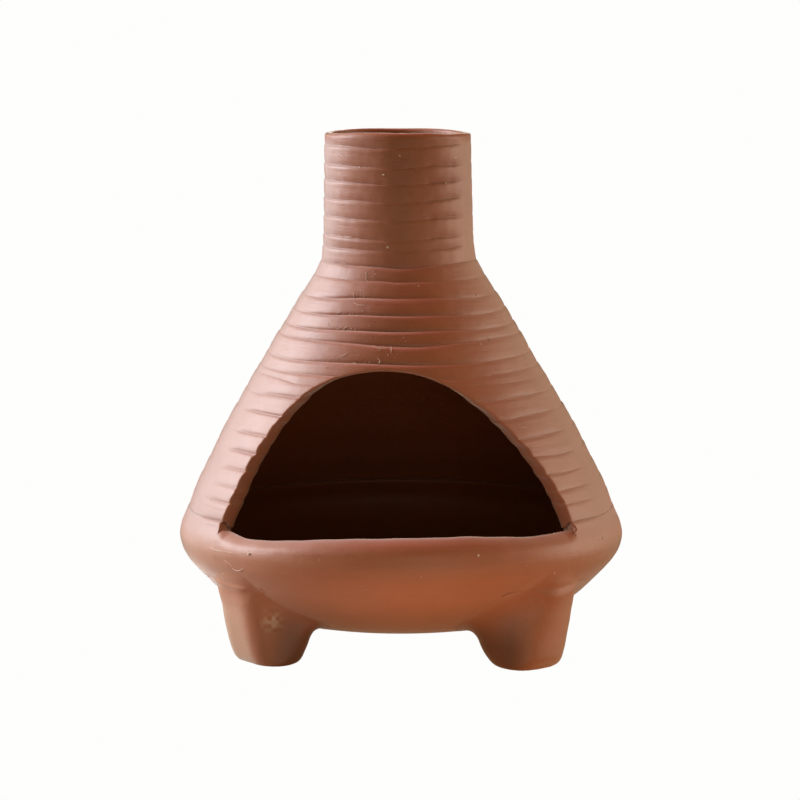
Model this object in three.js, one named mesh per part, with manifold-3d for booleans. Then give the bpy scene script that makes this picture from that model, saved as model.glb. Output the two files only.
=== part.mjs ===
// Clay chiminea: a small free-standing fired-clay stove on four feet.
// Units are millimetres, +Z is up, the mouth faces -Y and +X is to the right of
// somebody looking into the mouth. The origin is on the flue axis, on the ground.
//
// The pieces are the ones a potter makes apart and lutes together:
//   firebox_bowl     thrown bowl with a stepped (rebated) rim
//   sill_coil        rolled coil laid on the trimmed rim across the mouth
//   firebox_cone     thrown shoulder with the arched mouth cut through it
//   chimney_stack    thrown flue tube seated on the shoulder's spigot
//   foot_*           four tapered stub feet, saddle-cut to the bowl's underside
//   insulating_bed   loose lava-grit bed that keeps embers off the bowl's floor
//
// Azimuths are in degrees from -Y (the middle of the mouth) towards +X.

import * as THREE from 'three';
import { mergeVertices } from 'three/addons/utils/BufferGeometryUtils.js';
import Module from 'manifold-3d';

const wasm = await Module();
wasm.setup();

// ---------------------------------------------------------------- shared dimensions
const HEIGHT = 400;            // ground to flue rim
const SEGMENTS = 48;           // facets round every thrown wall
const SEAM_GAP = 0.3;          // clearance between luted faces
const HALF_GAP = SEAM_GAP / 2;
const SEAM_INSET = 0.9;        // outer wall drawn in where it meets a seam or the rim

const SEAM_Z = 108.8;          // bowl to shoulder seam (outside)
const TONGUE_Z = SEAM_Z - 5;   // the shoulder's inner tongue drops into the bowl
const TONGUE_R = 160;          // step radius of that joint
const NECK_Z = 299.4;          // shoulder to stack seam (outside)
const SPIGOT_Z = NECK_Z + 6;   // the shoulder's spigot rises into the stack
const SPIGOT_R = 55.6;         // step radius of that joint
const FLUE_R = 50.2;           // flue bore through neck and stack

// Outer wall of bowl, shoulder and stack: [height, radius] over the ring crests.
const OUTER = [
  [62.5, 161.6], [70, 167.8], [78, 172.0], [86, 173.7], [94, 172.3], [102, 169.0],
  [112, 164.8], [124, 160.4], [136, 154.6], [150, 147.4], [165, 140.2], [180, 132.0],
  [195, 123.2], [210, 114.8], [225, 105.5], [240, 97.3], [255, 88.0], [270, 79.2],
  [284, 69.7], [294, 63.9], [300, 61.1], [306, 59.5], [314, 58.7], [330, 57.9],
  [360, 57.4], [392, 56.8], [400, 56.5],
];
// Underside of the bowl, outside, up to the first point of OUTER: [radius, height].
const BOWL_UNDER = [
  [0, 20.5], [70, 20.5], [85, 21.0], [100, 22.8], [112, 26.0], [124, 31.2],
  [135, 37.8], [144.5, 45.5], [153.2, 54.2], [161.6, 62.5],
];
// Inside of the bowl, about 12 mm square to the outside: [radius, height].
const BOWL_INSIDE = [
  [0, 32.5], [72, 32.5], [98.0, 34.6], [118.5, 41.8], [136.5, 54.4], [152.7, 70.6],
  [160.6, 82.0], [161.2, 88.0], [157.2, 101.0],
];
// Mouth outline, cut square through the wall towards the axis: [azimuth, height].
// It was cut by hand, so the arch leans a little to one side.
const MOUTH = [
  [-55.4, 112], [-54.6, 120], [-54.0, 130], [-53.4, 142], [-52.4, 154], [-50.7, 164],
  [-49.2, 173], [-46.8, 184], [-43.6, 194], [-39.6, 203.5], [-34.0, 212.5],
  [-27.5, 218.5], [-21.0, 222.5], [-14.0, 225.0], [-6.8, 226.2], [0, 225.6],
  [5.0, 224.4], [10.0, 222.2], [14.7, 218.8], [19.2, 214.7], [24.2, 209.0],
  [29.0, 201.6], [33.8, 193.5], [37.3, 185.0], [41.0, 174.5], [44.6, 162.5],
  [47.7, 148.8], [49.9, 135.0], [51.2, 121.5], [51.8, 112],
];
const MOUTH_LEFT = MOUTH[0][0];
const MOUTH_RIGHT = MOUTH.at(-1)[0];

// ---------------------------------------------------------------- profile helpers
// Straight-line reading of a two-column table, held at its end values.
const lerpTable = (table, x) => {
  if (x <= table[0][0]) return table[0][1];
  for (let i = 1; i < table.length; i++) {
    if (x <= table[i][0]) {
      const [x0, y0] = table[i - 1];
      const [x1, y1] = table[i];
      return y0 + (y1 - y0) * (x - x0) / (x1 - x0);
    }
  }
  return table.at(-1)[1];
};
const outerR = (z) => lerpTable(OUTER, z);

// Moves [radius, height] points square to their line, to the right of its direction
// when distance is positive. Points on the axis stay on it.
const offsetProfile = (points, distance) => points.map(([r, z], i) => {
  const before = points[Math.max(0, i - 1)];
  const after = points[Math.min(points.length - 1, i + 1)];
  const dr = after[0] - before[0];
  const dz = after[1] - before[1];
  const length = Math.hypot(dr, dz);
  return [r === 0 ? 0 : r + distance * dz / length, z - distance * dr / length];
});

// Outer wall between two heights, listed upwards, with a groove at each given
// height and a ring crest midway between neighbours.
const RING_DEPTH = 1.5;        // groove depth between throwing rings
const ringedWall = (bottomZ, topZ, grooves) => {
  const stops = [bottomZ, ...grooves, topZ];
  const last = stops.length - 1;
  return stops.flatMap((z, i) => {
    const isEnd = i === 0 || i === last;
    const point = [outerR(z) - (isEnd ? SEAM_INSET : RING_DEPTH), z];
    if (i === last) return [point];
    const crestZ = (z + stops[i + 1]) / 2;
    return [point, [outerR(crestZ), crestZ]];
  });
};

// ---------------------------------------------------------------- solid helpers
// Turned geometry about +Z from [radius, height] points. The profile has to start
// and end on the axis.
const turned = (points, segments = SEGMENTS) => {
  const profile = points.map(([r, z]) => new THREE.Vector2(r, z));
  return new THREE.LatheGeometry(profile, segments).rotateX(Math.PI / 2);
};
// The same for a hollow piece, whose profile is closed back to its first point.
const turnedRing = (points) => turned([...points, points[0]]);

// Replaces every vertex by what move(x, y, z) returns.
const reshape = (geometry, move) => {
  const p = geometry.attributes.position;
  for (let i = 0; i < p.count; i++) {
    p.setXYZ(i, ...move(p.getX(i), p.getY(i), p.getZ(i)));
  }
  return geometry;
};

// Cylindrical to Cartesian, with the angle in radians from -Y towards +X.
const fromAxis = (angle, r, z) => [r * Math.sin(angle), -r * Math.cos(angle), z];

// Welds the geometry, drops collapsed triangles and turns it right side out.
const toManifold = (geometry) => {
  geometry.deleteAttribute('normal');
  geometry.deleteAttribute('uv');
  const welded = mergeVertices(geometry, 1e-4);
  const source = welded.index.array;
  const triangles = [];
  for (let i = 0; i < source.length; i += 3) {
    const [a, b, c] = source.slice(i, i + 3);
    if (a !== b && b !== c && a !== c) triangles.push([a, b, c]);
  }
  const build = (faces) => new wasm.Manifold(new wasm.Mesh({
    numProp: 3,
    vertProperties: new Float32Array(welded.attributes.position.array),
    triVerts: new Uint32Array(faces.flat()),
  }));
  const solid = build(triangles);
  return solid.volume() > 0 ? solid : build(triangles.map(([a, b, c]) => [a, c, b]));
};

const fromManifold = (solid) => {
  const { vertProperties, triVerts } = solid.getMesh();
  const geometry = new THREE.BufferGeometry();
  geometry.setAttribute('position', new THREE.BufferAttribute(vertProperties, 3));
  geometry.setIndex(new THREE.BufferAttribute(triVerts, 1));
  geometry.computeVertexNormals();
  return geometry;
};

// Cutter whose outline is drawn as [azimuth, height] and whose sides run square
// to the axis: an extrusion bent round +Z, from innerR to well outside the walls.
const CUTTER_OUTER_R = 420;
const radialCutter = (outline, { innerR }) => {
  const shape = new THREE.Shape(outline.map(([azimuth, z]) => new THREE.Vector2(azimuth, z)));
  const block = new THREE.ExtrudeGeometry(shape, {
    depth: CUTTER_OUTER_R - innerR, bevelEnabled: false, steps: 1, curveSegments: 1,
  });
  return toManifold(reshape(block, (azimuth, z, depth) => (
    fromAxis(THREE.MathUtils.degToRad(azimuth), innerR + depth, z)
  )));
};

// ---------------------------------------------------------------- sill across the mouth
// Crown height of the sill coil across the mouth: [azimuth, height].
const SILL = [
  [-60, 101.0], [-55, 100.4], [-50, 98.6], [-45, 98.8], [-37.5, 100.2], [-30, 102.2],
  [-15, 105.4], [0, 107.0], [15, 107.2], [30, 104.6], [40, 102.8], [50, 102.4], [60, 103.2],
];
const SILL_THICK = 10;         // crown down to the trimmed rim
const SILL_WIDTH = 11.6;       // radial reach of the coil in from the bowl's outside
const SILL_END_GAP = 0.15;     // degrees, about 0.4 mm at the rim

// Ring that follows the crown line and the bowl's outside. The section is drawn as
// [offset from the outside, offset from the crown], turned at a reference radius
// and then moved onto them.
const followCrown = (section) => {
  const referenceR = 200;
  const ring = turnedRing(section.map(([dr, dz]) => [referenceR + dr, dz]));
  return toManifold(reshape(ring, (x, y, dz) => {
    const angle = Math.atan2(x, -y);
    const dr = Math.hypot(x, y) - referenceR;
    const z = lerpTable(SILL, THREE.MathUtils.radToDeg(angle)) + dz;
    return fromAxis(angle, outerR(Math.min(z, SEAM_Z)) + dr, z);
  }));
};

// Block as wide as the mouth less a gap in degrees at each end, spanning the rim.
const mouthSector = (endGap) => {
  const left = MOUTH_LEFT + endGap;
  const right = MOUTH_RIGHT - endGap;
  const [bottom, top] = [80, 125];
  return radialCutter([
    [left, bottom], [right, bottom], [right, top], [left, top],
  ], { innerR: 60 });
};

const sillCoil = () => {
  const base = -SILL_THICK + SEAM_GAP;
  return followCrown([
    [-0.3, base], [0.3, -6.4], [-0.4, -3.2], [-2.4, -0.9], [-5.2, 0],
    [-8.4, -0.6], [-10.8, -2.8], [-SILL_WIDTH, -6.2], [-SILL_WIDTH + 0.4, base],
  ]).intersect(mouthSector(SILL_END_GAP));
};

// What is trimmed off the bowl's rim across the mouth to seat the coil; it reaches
// past the rim on both sides and above.
const sillTrim = () => followCrown([
  [-20, -SILL_THICK], [6, -SILL_THICK], [6, 30], [-20, 30],
]).intersect(mouthSector(0));

// ---------------------------------------------------------------- bowl
const RIM_LEDGE = 3.6;         // width of the rim's lower step, inside the joint

// Outside of the bowl from the axis up to the last OUTER point below the seam.
const BOWL_OUTSIDE = [
  ...BOWL_UNDER,
  ...OUTER.slice(1).filter(([z]) => z < SEAM_Z).map(([z, r]) => [r, z]),
];

const fireboxBowl = () => {
  const rim = [
    [TONGUE_R - RIM_LEDGE, TONGUE_Z - HALF_GAP],
    [TONGUE_R + HALF_GAP, TONGUE_Z - HALF_GAP],
    [TONGUE_R + HALF_GAP, SEAM_Z - HALF_GAP],
    [outerR(SEAM_Z) - SEAM_INSET, SEAM_Z - HALF_GAP],
  ];
  const body = turned([...BOWL_INSIDE, ...rim, ...[...BOWL_OUTSIDE].reverse()]);
  return toManifold(body).subtract(sillTrim());
};

// ---------------------------------------------------------------- shoulder
// Heights of the grooves between the throwing rings.
const CONE_GROOVES = [
  122.1, 134.5, 145.8, 159.0, 172.8, 187.6, 202.0, 211.5, 220.4, 231.5, 244.2,
  254.3, 265.4, 276.9, 289.0,
];
// Inside of the shoulder between flue and tongue, downwards: [radius, height].
const CONE_INSIDE = [
  [67.0, 270], [85.0, 240], [102.4, 210], [119.6, 180], [134.8, 150], [148.0, 122],
];
const THROAT_Z = 298;          // where the bore starts to open out below the neck
const TONGUE_INNER_R = 155.6;
const MOUTH_CUT_Z = 95;        // the mouth cut runs out below the shoulder

const fireboxCone = () => {
  const body = turnedRing([
    [TONGUE_R - HALF_GAP, TONGUE_Z + HALF_GAP],
    [TONGUE_R - HALF_GAP, SEAM_Z + HALF_GAP],
    ...ringedWall(SEAM_Z + HALF_GAP, NECK_Z - HALF_GAP, CONE_GROOVES),
    [SPIGOT_R - HALF_GAP, NECK_Z - HALF_GAP],
    [SPIGOT_R - HALF_GAP, SPIGOT_Z - HALF_GAP],
    [FLUE_R, SPIGOT_Z - HALF_GAP],
    [FLUE_R + 0.4, THROAT_Z],
    ...CONE_INSIDE,
    [TONGUE_INNER_R, TONGUE_Z + HALF_GAP],
  ]);
  const mouth = radialCutter([
    [MOUTH_LEFT, MOUTH_CUT_Z], ...MOUTH, [MOUTH_RIGHT, MOUTH_CUT_Z],
  ], { innerR: 40 });
  return toManifold(body).subtract(mouth);
};

// ---------------------------------------------------------------- stack
const STACK_GROOVES = [314.4, 321.8, 336.2, 350.6, 364.7, 376.9, 391.6];
const RIM_OUTER_R = 56.4;      // flue rim, outside, before its edge is rounded
const RIM_INNER_R = 49.6;      // flue rim, inside

const chimneyStack = () => toManifold(turnedRing([
  [SPIGOT_R + HALF_GAP, NECK_Z + HALF_GAP],
  ...ringedWall(NECK_Z + HALF_GAP, HEIGHT - 3.4, STACK_GROOVES),
  // Rounded rim
  [RIM_OUTER_R - 1.4, HEIGHT - 0.6],
  [RIM_OUTER_R - 2.2, HEIGHT],
  [RIM_INNER_R + 1.6, HEIGHT],
  [RIM_INNER_R + 0.4, HEIGHT - 0.8],
  [RIM_INNER_R, HEIGHT - 3],
  // Bore and the socket over the spigot
  [FLUE_R, HEIGHT - 16],
  [FLUE_R, SPIGOT_Z + HALF_GAP],
  [SPIGOT_R + HALF_GAP, SPIGOT_Z + HALF_GAP],
]));

// ---------------------------------------------------------------- feet
const FOOT_X = 100;            // foot centres either side of the axis
const FOOT_Y_FRONT = -94;
const FOOT_Y_REAR = 90;
const FOOT_SEGMENTS = 24;
// Foot before its saddle cut: [radius, height]. It flares sideways and inwards under
// the bowl; on its outer side the flare is held to FOOT_OUT, so it runs up into the belly.
const FOOT_PROFILE = [
  [0, 0], [19.5, 0], [24.5, 1.6], [27.6, 5.6], [30.8, 20], [33.8, 32], [38.5, 43],
  [44.5, 52], [50, 72], [0, 72],
];
const FOOT_OUT = 31;           // furthest reach of a foot away from the axis
const SADDLE_TOP = 110;        // above the top of every foot

// The bowl's outside grown by the luting gap.
const saddle = toManifold(turned([...offsetProfile(BOWL_OUTSIDE, SEAM_GAP), [0, SADDLE_TOP]]));

const foot = (centreX, centreY) => {
  const away = new THREE.Vector2(centreX, centreY).normalize();
  const stub = reshape(turned(FOOT_PROFILE, FOOT_SEGMENTS), (x, y, z) => {
    const spot = new THREE.Vector2(x, y);
    const r = spot.length();
    const outward = spot.dot(away);
    if (outward > 0 && r > FOOT_OUT) {
      spot.addScaledVector(away, outward * (FOOT_OUT / r - 1));
    }
    return [spot.x, spot.y, z];
  });
  stub.translate(centreX, centreY, 0);
  return toManifold(stub).subtract(saddle);
};

// ---------------------------------------------------------------- bed
const BED_TOP = 58;            // the bed lies well below the sill
const BED_GAP = 0.35;          // clearance to the bowl's inside

// Bowl-shaped below, slightly heaped towards the middle on top.
const insulatingBed = () => toManifold(turned([
  ...offsetProfile(BOWL_INSIDE.filter(([, z]) => z < BED_TOP), -BED_GAP),
  [138.6, BED_TOP - 1.4], [134, BED_TOP - 0.6], [100, BED_TOP + 0.8],
  [50, BED_TOP + 2.4], [0, BED_TOP + 3],
]));

// ---------------------------------------------------------------- assembly
const TERRACOTTA = 0xa8674a;
const BODY_CLAY = { color: TERRACOTTA, roughness: 0.82 };
const COIL_CLAY = { color: 0xb27358, roughness: 0.82 };
const STACK_CLAY = { color: 0x96583c, roughness: 0.82 };
const FOOT_CLAY = { color: TERRACOTTA, roughness: 0.85 };
const LAVA_GRIT = { color: 0x33261f, roughness: 0.95 };

const group = new THREE.Group();
const add = (name, solid, finish) => {
  const material = new THREE.MeshStandardMaterial({ ...finish, metalness: 0 });
  const mesh = new THREE.Mesh(fromManifold(solid), material);
  mesh.name = name;
  group.add(mesh);
};

add('firebox_bowl', fireboxBowl(), BODY_CLAY);
add('sill_coil', sillCoil(), COIL_CLAY);
add('firebox_cone', fireboxCone(), BODY_CLAY);
add('chimney_stack', chimneyStack(), STACK_CLAY);
for (const [end, y] of [['front', FOOT_Y_FRONT], ['rear', FOOT_Y_REAR]]) {
  for (const [side, x] of [['left', -FOOT_X], ['right', FOOT_X]]) {
    add(`foot_${end}_${side}`, foot(x, y), FOOT_CLAY);
  }
}
add('insulating_bed', insulatingBed(), LAVA_GRIT);

export default group;
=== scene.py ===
"""Clay chiminea: a thrown bowl, shoulder and flue on four feet, with a bed of grit inside.

The pot stands upright on z = 0 with its mouth towards -Y. Every piece is meshed in
millimetres and stands for its CAD node; phi is in degrees round the axis from -Y, the
middle of the mouth, towards +X. "Left" is -X. Vertices carry three attributes for the
materials: cav (painted shade deep in the grooves and low on the feet),
soot (painted shade of the hollow inside, 0 none to 1 full), grog (paleness).
"""

import math

import bpy
import numpy as np
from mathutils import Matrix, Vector


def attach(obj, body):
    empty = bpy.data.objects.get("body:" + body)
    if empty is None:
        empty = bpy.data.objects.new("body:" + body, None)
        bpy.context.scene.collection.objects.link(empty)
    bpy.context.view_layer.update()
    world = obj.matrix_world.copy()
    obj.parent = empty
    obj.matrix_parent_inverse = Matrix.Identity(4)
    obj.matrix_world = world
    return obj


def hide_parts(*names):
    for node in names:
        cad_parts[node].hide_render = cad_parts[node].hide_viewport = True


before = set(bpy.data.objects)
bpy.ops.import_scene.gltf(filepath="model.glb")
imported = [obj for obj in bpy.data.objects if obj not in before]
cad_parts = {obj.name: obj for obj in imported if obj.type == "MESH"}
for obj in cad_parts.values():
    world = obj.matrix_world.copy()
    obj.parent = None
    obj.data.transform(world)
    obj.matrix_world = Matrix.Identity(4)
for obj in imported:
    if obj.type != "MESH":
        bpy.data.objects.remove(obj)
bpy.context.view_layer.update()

RAD = math.pi / 180.0


# ------------------------------------------------------------------ small maths
def monotone(x_knots, y_knots):
    """Monotone cubic through the knots, flat beyond them."""
    x_knots = np.asarray(x_knots, float)
    y_knots = np.asarray(y_knots, float)
    step = np.diff(x_knots)
    rise = np.diff(y_knots) / step
    slope = np.zeros_like(y_knots)
    for i in range(1, len(x_knots) - 1):
        if rise[i - 1] * rise[i] > 0:
            w1 = 2 * step[i] + step[i - 1]
            w2 = step[i] + 2 * step[i - 1]
            slope[i] = (w1 + w2) / (w1 / rise[i - 1] + w2 / rise[i])
    slope[0], slope[-1] = rise[0], rise[-1]

    def at(x):
        x = np.clip(np.asarray(x, float), x_knots[0], x_knots[-1])
        i = np.clip(np.searchsorted(x_knots, x) - 1, 0, len(step) - 1)
        t = (x - x_knots[i]) / step[i]
        return (
            y_knots[i] * (1 + 2 * t) * (1 - t) ** 2
            + step[i] * slope[i] * t * (1 - t) ** 2
            + y_knots[i + 1] * t * t * (3 - 2 * t)
            + step[i] * slope[i + 1] * t * t * (t - 1)
        )

    return at


def smooth(start, end, x):
    """Smoothstep from 0 at start to 1 at end; start may be the larger."""
    t = np.clip((np.asarray(x, float) - start) / (end - start), 0, 1)
    return t * t * (3 - 2 * t)


def smooth_max(a, b, width):
    h = np.clip(0.5 + 0.5 * (b - a) / width, 0, 1)
    return a * (1 - h) + b * h + width * h * (1 - h)


def smooth_min(a, b, width):
    return -smooth_max(-b, -a, width)


def unit(v):
    return v / np.maximum(np.linalg.norm(v, axis=-1, keepdims=True), 1e-9)


def curve_through(points, per_span):
    """Catmull-Rom through the points, resampled."""
    p = np.vstack([2 * points[0] - points[1], points, 2 * points[-1] - points[-2]])
    out = []
    for i in range(1, len(p) - 2):
        a, b, c, d = p[i - 1 : i + 3]
        for t in np.arange(per_span) / per_span:
            out.append(0.5 * (2 * b + (c - a) * t + (2 * a - 5 * b + 4 * c - d) * t * t
                              + (3 * b - a - 3 * c + d) * t**3))
    out.append(points[-1])
    return np.array(out)


def ripple(seed, count, max_waves, falloff, z_wave=1e9):
    """Seeded sum of waves, periodic round the axis, as a function of (phi, z)."""
    rng = np.random.default_rng(seed)
    waves = rng.integers(1, max_waves + 1, count)
    climb = rng.uniform(-1, 1, count) * 2 * math.pi / z_wave
    phase = rng.uniform(0, 2 * math.pi, count)
    height = rng.uniform(0.4, 1.0, count) / waves**falloff
    height /= math.sqrt((height**2).sum() / 2) * 1.6

    def at(phi, z=0.0):
        phi = np.asarray(phi, float) * RAD
        z = np.asarray(z, float)
        out = 0.0
        for m, k, p, a in zip(waves, climb, phase, height):
            out = out + a * np.sin(m * phi + k * z + p)
        return out

    return at


def hash3(ix, iy, iz, seed):
    """Repeatable 0..1 value for each integer cell."""
    h = (ix * 374761393 + iy * 668265263 + iz * 2147483647 + seed * 974634777) & 0xFFFFFFFF
    h = ((h ^ (h >> 13)) * 1274126177) & 0xFFFFFFFF
    h = h ^ (h >> 16)
    return (h & 0xFFFFFF) / float(0xFFFFFF)


def value_noise(points, scale, seed):
    """Value noise in -1..1 over points (N, 3)."""
    q = np.asarray(points, float) / scale
    cell = np.floor(q).astype(np.int64)
    f = q - cell
    f = f * f * (3 - 2 * f)
    out = 0.0
    for dx in (0, 1):
        for dy in (0, 1):
            for dz in (0, 1):
                weight = (
                    (f[:, 0] if dx else 1 - f[:, 0])
                    * (f[:, 1] if dy else 1 - f[:, 1])
                    * (f[:, 2] if dz else 1 - f[:, 2])
                )
                out = out + weight * hash3(cell[:, 0] + dx, cell[:, 1] + dy, cell[:, 2] + dz, seed)
    return out * 2 - 1


def turn(phi):
    """phi brought into -180..180."""
    return (np.asarray(phi, float) + 180.0) % 360.0 - 180.0


def even_angles(count):
    return (np.arange(count) - count / 2) * 360.0 / count


# ------------------------------------------------------------------ the pot's lines
# outside radius by height, from the turn of the belly to the lip
OUT_Z = [62.5, 70, 78, 86, 94, 102, 112, 124, 136, 150, 165, 180, 195, 210, 225, 240,
         255, 270, 284, 294, 300, 306, 314, 330, 360, 392, 400]
OUT_R = [161.6, 167.8, 172.0, 173.6, 172.3, 169.0, 164.8, 160.4, 154.6, 147.4, 140.2,
         132.0, 123.2, 114.8, 105.5, 97.3, 88.0, 79.2, 69.9, 64.0, 61.1, 59.5, 58.7,
         57.9, 57.4, 56.8, 56.5]
outside_r = monotone(OUT_Z, OUT_R)
BELLY_Z = OUT_Z[0]
BELLY_R = OUT_R[0]

# (radius, z) of the bowl's underside, out to the turn of the belly
UNDERSIDE = [(0.0, 20.5), (35, 20.5), (70, 20.6), (85, 21.2), (100, 23.0), (112, 26.2),
             (124, 31.2), (135, 37.9), (144.5, 45.4), (153.2, 54.0), (BELLY_R, BELLY_Z)]
underside_z = monotone(*zip(*UNDERSIDE))

# (radius, z) inside the bowl: the basin, then the wall up to the seam
INSIDE_BASIN = [(40, 32.5), (72, 32.6), (98.0, 34.8), (118.5, 41.9), (136.5, 54.4),
                (152.7, 70.6), (160.4, 81.5)]
INSIDE_WALL = [INSIDE_BASIN[-1], (161.2, 88.0), (157.2, 101.0), (155.4, 108.6)]

# inside radius of the shoulder by height
CONE_IN_Z = [104, 112, 122, 136, 150, 165, 180, 195, 210, 225, 240, 255, 270, 284, 298, 306]
CONE_IN_R = [155.6, 152.6, 148.0, 142.0, 134.8, 127.6, 119.6, 110.8, 102.4, 93.0, 85.0,
             75.6, 67.0, 57.6, 50.6, 50.2]
cone_inside_r = monotone(CONE_IN_Z, CONE_IN_R)

AXIS_X = 0.7            # the belly's axis stands this far to the right
SHOULDER_TOP = 215      # shoulder lines lie below this height
FLUE_START = 305        # flue lines lie above this height
NECK_GROOVE = 16        # index of the throwing line where shoulder and flue meet
CREST = 0.26            # share of a line's depth pushed up just below it

# each throwing line: height, depth, how sharp the ledge is, and where it strays from level
# (phi, rise in mm) on the side that faces the mouth
GROOVE_TABLE = [
    (108.8, 1.45, 1.0, [(-66, -0.6), (-58, -0.2), (-30, 0.0), (40, 0.6), (54, 1.0), (60, 0.6),
                        (68, 0.1)]),
    (122.1, 1.10, 0.8, [(-66, -0.9), (-60, -0.2), (52, 0.9), (60, 0.5)]),
    (134.5, 0.95, 0.7, [(-66, -0.5), (-60, 0.0), (48, -1.6), (56, -1.4)]),
    (145.8, 1.30, 0.9, [(-66, 0.2), (-60, 0.8), (46, 0.6), (56, -0.8)]),
    (159.0, 1.65, 1.0, [(-66, 0.6), (-60, 1.0), (-54, 0.6), (46, 0.4), (58, -1.2)]),
    (172.8, 1.60, 1.0, [(-66, 0.4), (-54, 0.8), (48, 0.0), (60, 0.8)]),
    (187.6, 1.95, 1.0, [(-66, 1.5), (-54, 1.5), (-46, 1.3), (40, -0.4), (48, 0.6), (56, 0.9)]),
    (202.0, 1.55, 0.9, [(-66, -0.6), (-56, 1.0), (-46, 1.5), (38, -0.3), (50, 0.3)]),
    (213.8, 0.75, 0.6, [(-66, 1.6), (-56, 1.3), (-44, -0.6), (40, -0.6), (52, -1.0)]),
    (220.4, 1.35, 0.8, [(-66, -0.3), (-48, 0.0), (-34, 0.4), (0, -0.2), (24, -1.9), (36, -1.1),
                        (54, -0.4)]),
    (231.5, 1.70, 0.9, [(-66, -2.2), (-48, -1.9), (-30, -0.9), (-16, -0.6), (4, -1.6),
                        (24, -2.0), (54, -1.6)]),
    (244.2, 2.00, 1.0, [(-66, 0.7), (-40, 1.1), (-24, 0.8), (-8, -0.7), (8, -1.3), (22, -0.3),
                        (40, 1.0), (54, 1.2)]),
    (254.3, 1.90, 1.0, [(-66, -1.9), (-44, -1.5), (-22, -0.2), (-6, -0.5), (18, -0.3),
                        (42, -1.4), (54, -1.6)]),
    (265.4, 1.80, 1.0, [(-66, -1.8), (-44, -1.5), (-22, 0.1), (0, -0.2), (18, 0.0), (36, -1.0),
                        (52, -1.9)]),
    (276.9, 1.70, 0.9, [(-66, -1.6), (-44, -0.9), (-22, 0.9), (0, 0.6), (22, 0.7), (40, -0.4),
                        (54, -1.6)]),
    (289.4, 1.20, 0.8, [(-66, 0.8), (-48, 1.1), (-30, 0.3), (-14, 0.6), (0, -0.3), (16, 0.1),
                        (50, -0.4)]),
    (300.2, 1.70, 0.8, [(-66, 0.9), (-54, 1.1), (-36, 0.4), (-18, 0.2), (0, -1.0), (18, 0.0),
                        (42, 1.2), (66, 1.7)]),
    (313.0, 1.60, 0.7, [(-66, -0.3), (-42, -0.1), (-18, -0.5), (0, -1.8), (18, 0.0), (42, 0.2),
                        (60, 1.3)]),
    (321.6, 1.50, 0.9, [(-66, 0.4), (-42, -0.1), (-18, -0.9), (0, -2.0), (18, -0.8), (36, 0.7),
                        (60, 0.8)]),
    (336.2, 1.65, 1.0, [(-66, 0.4), (-54, 0.6), (-42, 0.0), (-18, -0.2), (0, -1.2), (18, 0.0),
                        (34, 1.1), (48, 0.9), (60, 0.2)]),
    (350.6, 1.60, 1.0, [(-66, -0.8), (-48, -0.4), (-36, -0.1), (-18, -0.7), (0, -1.6),
                        (18, -0.5), (40, 0.6), (54, 1.3)]),
    (364.7, 1.65, 1.0, [(-66, -0.3), (-42, -0.4), (-18, -1.1), (0, -1.9), (18, -1.0),
                        (40, -0.1), (52, 0.2)]),
    (376.9, 1.70, 1.0, [(-66, -0.1), (-42, -0.2), (-24, -0.4), (0, -1.6), (18, -0.2),
                        (32, 0.9), (50, 0.3)]),
    (391.6, 1.50, 1.0, [(-72, -0.5), (-54, -0.2), (-30, -0.6), (-12, -1.2), (6, -0.9),
                        (24, 0.2), (42, 1.1), (54, 1.3), (66, 0.6)]),
]
# how deep the lines bite round the pot: full on the left front, shallow in the middle of
# the flue, fading out towards the right side, back to full behind
flue_bite = monotone(
    [-180, -130, -95, -80, -68, -28, -16, -6, 10, 20, 28, 46, 54, 62, 80, 110, 140, 180],
    [0.85, 0.9, 0.5, 0.40, 0.9, 1.1, 0.7, 0.22, 0.16, 0.4, 0.95, 0.9, 0.55, 0.12, 0.10, 0.5,
     0.85, 0.85])
cone_bite = monotone(
    [-180, -130, -95, -80, -66, -40, -10, 8, 22, 40, 52, 62, 70, 85, 110, 140, 180],
    [0.85, 0.9, 0.42, 0.45, 0.85, 1.0, 1.0, 0.8, 0.62, 0.7, 0.8, 0.6, 0.4, 0.45, 0.6, 0.85,
     0.85])
# the hand's unevenness, broad to fine
lump = ripple(7, 9, 5, 0.7, z_wave=150.0)
lump_mid = ripple(8, 14, 13, 0.3, z_wave=60.0)
lump_fine = ripple(9, 18, 40, 0.1, z_wave=16.0)
bowl_lump = ripple(21, 7, 4, 0.8, z_wave=140.0)
bowl_lump_mid = ripple(22, 12, 9, 0.3, z_wave=45.0)


class Groove:
    """One throwing line scored round the pot."""

    def __init__(self, number, height, depth, sharpness, stray):
        self.height, self.full_depth, self.sharpness = height, depth, sharpness
        self.in_flue = height > FLUE_START
        points = ([(-180, 0.0), (-110, 0.3 * stray[0][1])] + stray
                  + [(110, 0.3 * stray[-1][1]), (180, 0.0)])
        self.stray = monotone(*zip(*points))
        self.wobble = ripple(100 + number, 5, 5, 0.8)
        self.unevenness = ripple(300 + number, 6, 7, 0.5)
        self.blunting = ripple(500 + number, 5, 5, 0.5)

    def z(self, phi):
        phi = turn(phi)
        return self.height + self.stray(phi) + 0.18 * self.wobble(phi)

    def depth(self, phi):
        phi = turn(phi)
        away = np.abs(phi)
        bite = flue_bite if self.in_flue else cone_bite
        share = np.clip(0.92 + 0.22 * self.unevenness(phi), 0.4, 1.3) * bite(phi)
        if self.height < SHOULDER_TOP:  # smoothed over by hand at the shoulder's two sides
            side = smooth(62, 71, away) * (1 - smooth(76, 87, away))
            share = share * (1 - 0.90 * side * smooth(216, 180, self.height))
            share = share * (1 + 0.25 * smooth(40, 50, away) * smooth(70, 62, away))
        elif not self.in_flue:          # deeper across the front
            share = share * (1 + 0.32 * smooth(-62, -40, phi) * smooth(40, 12, phi))
        else:
            share = share * 1.12
        return self.full_depth * share


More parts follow.
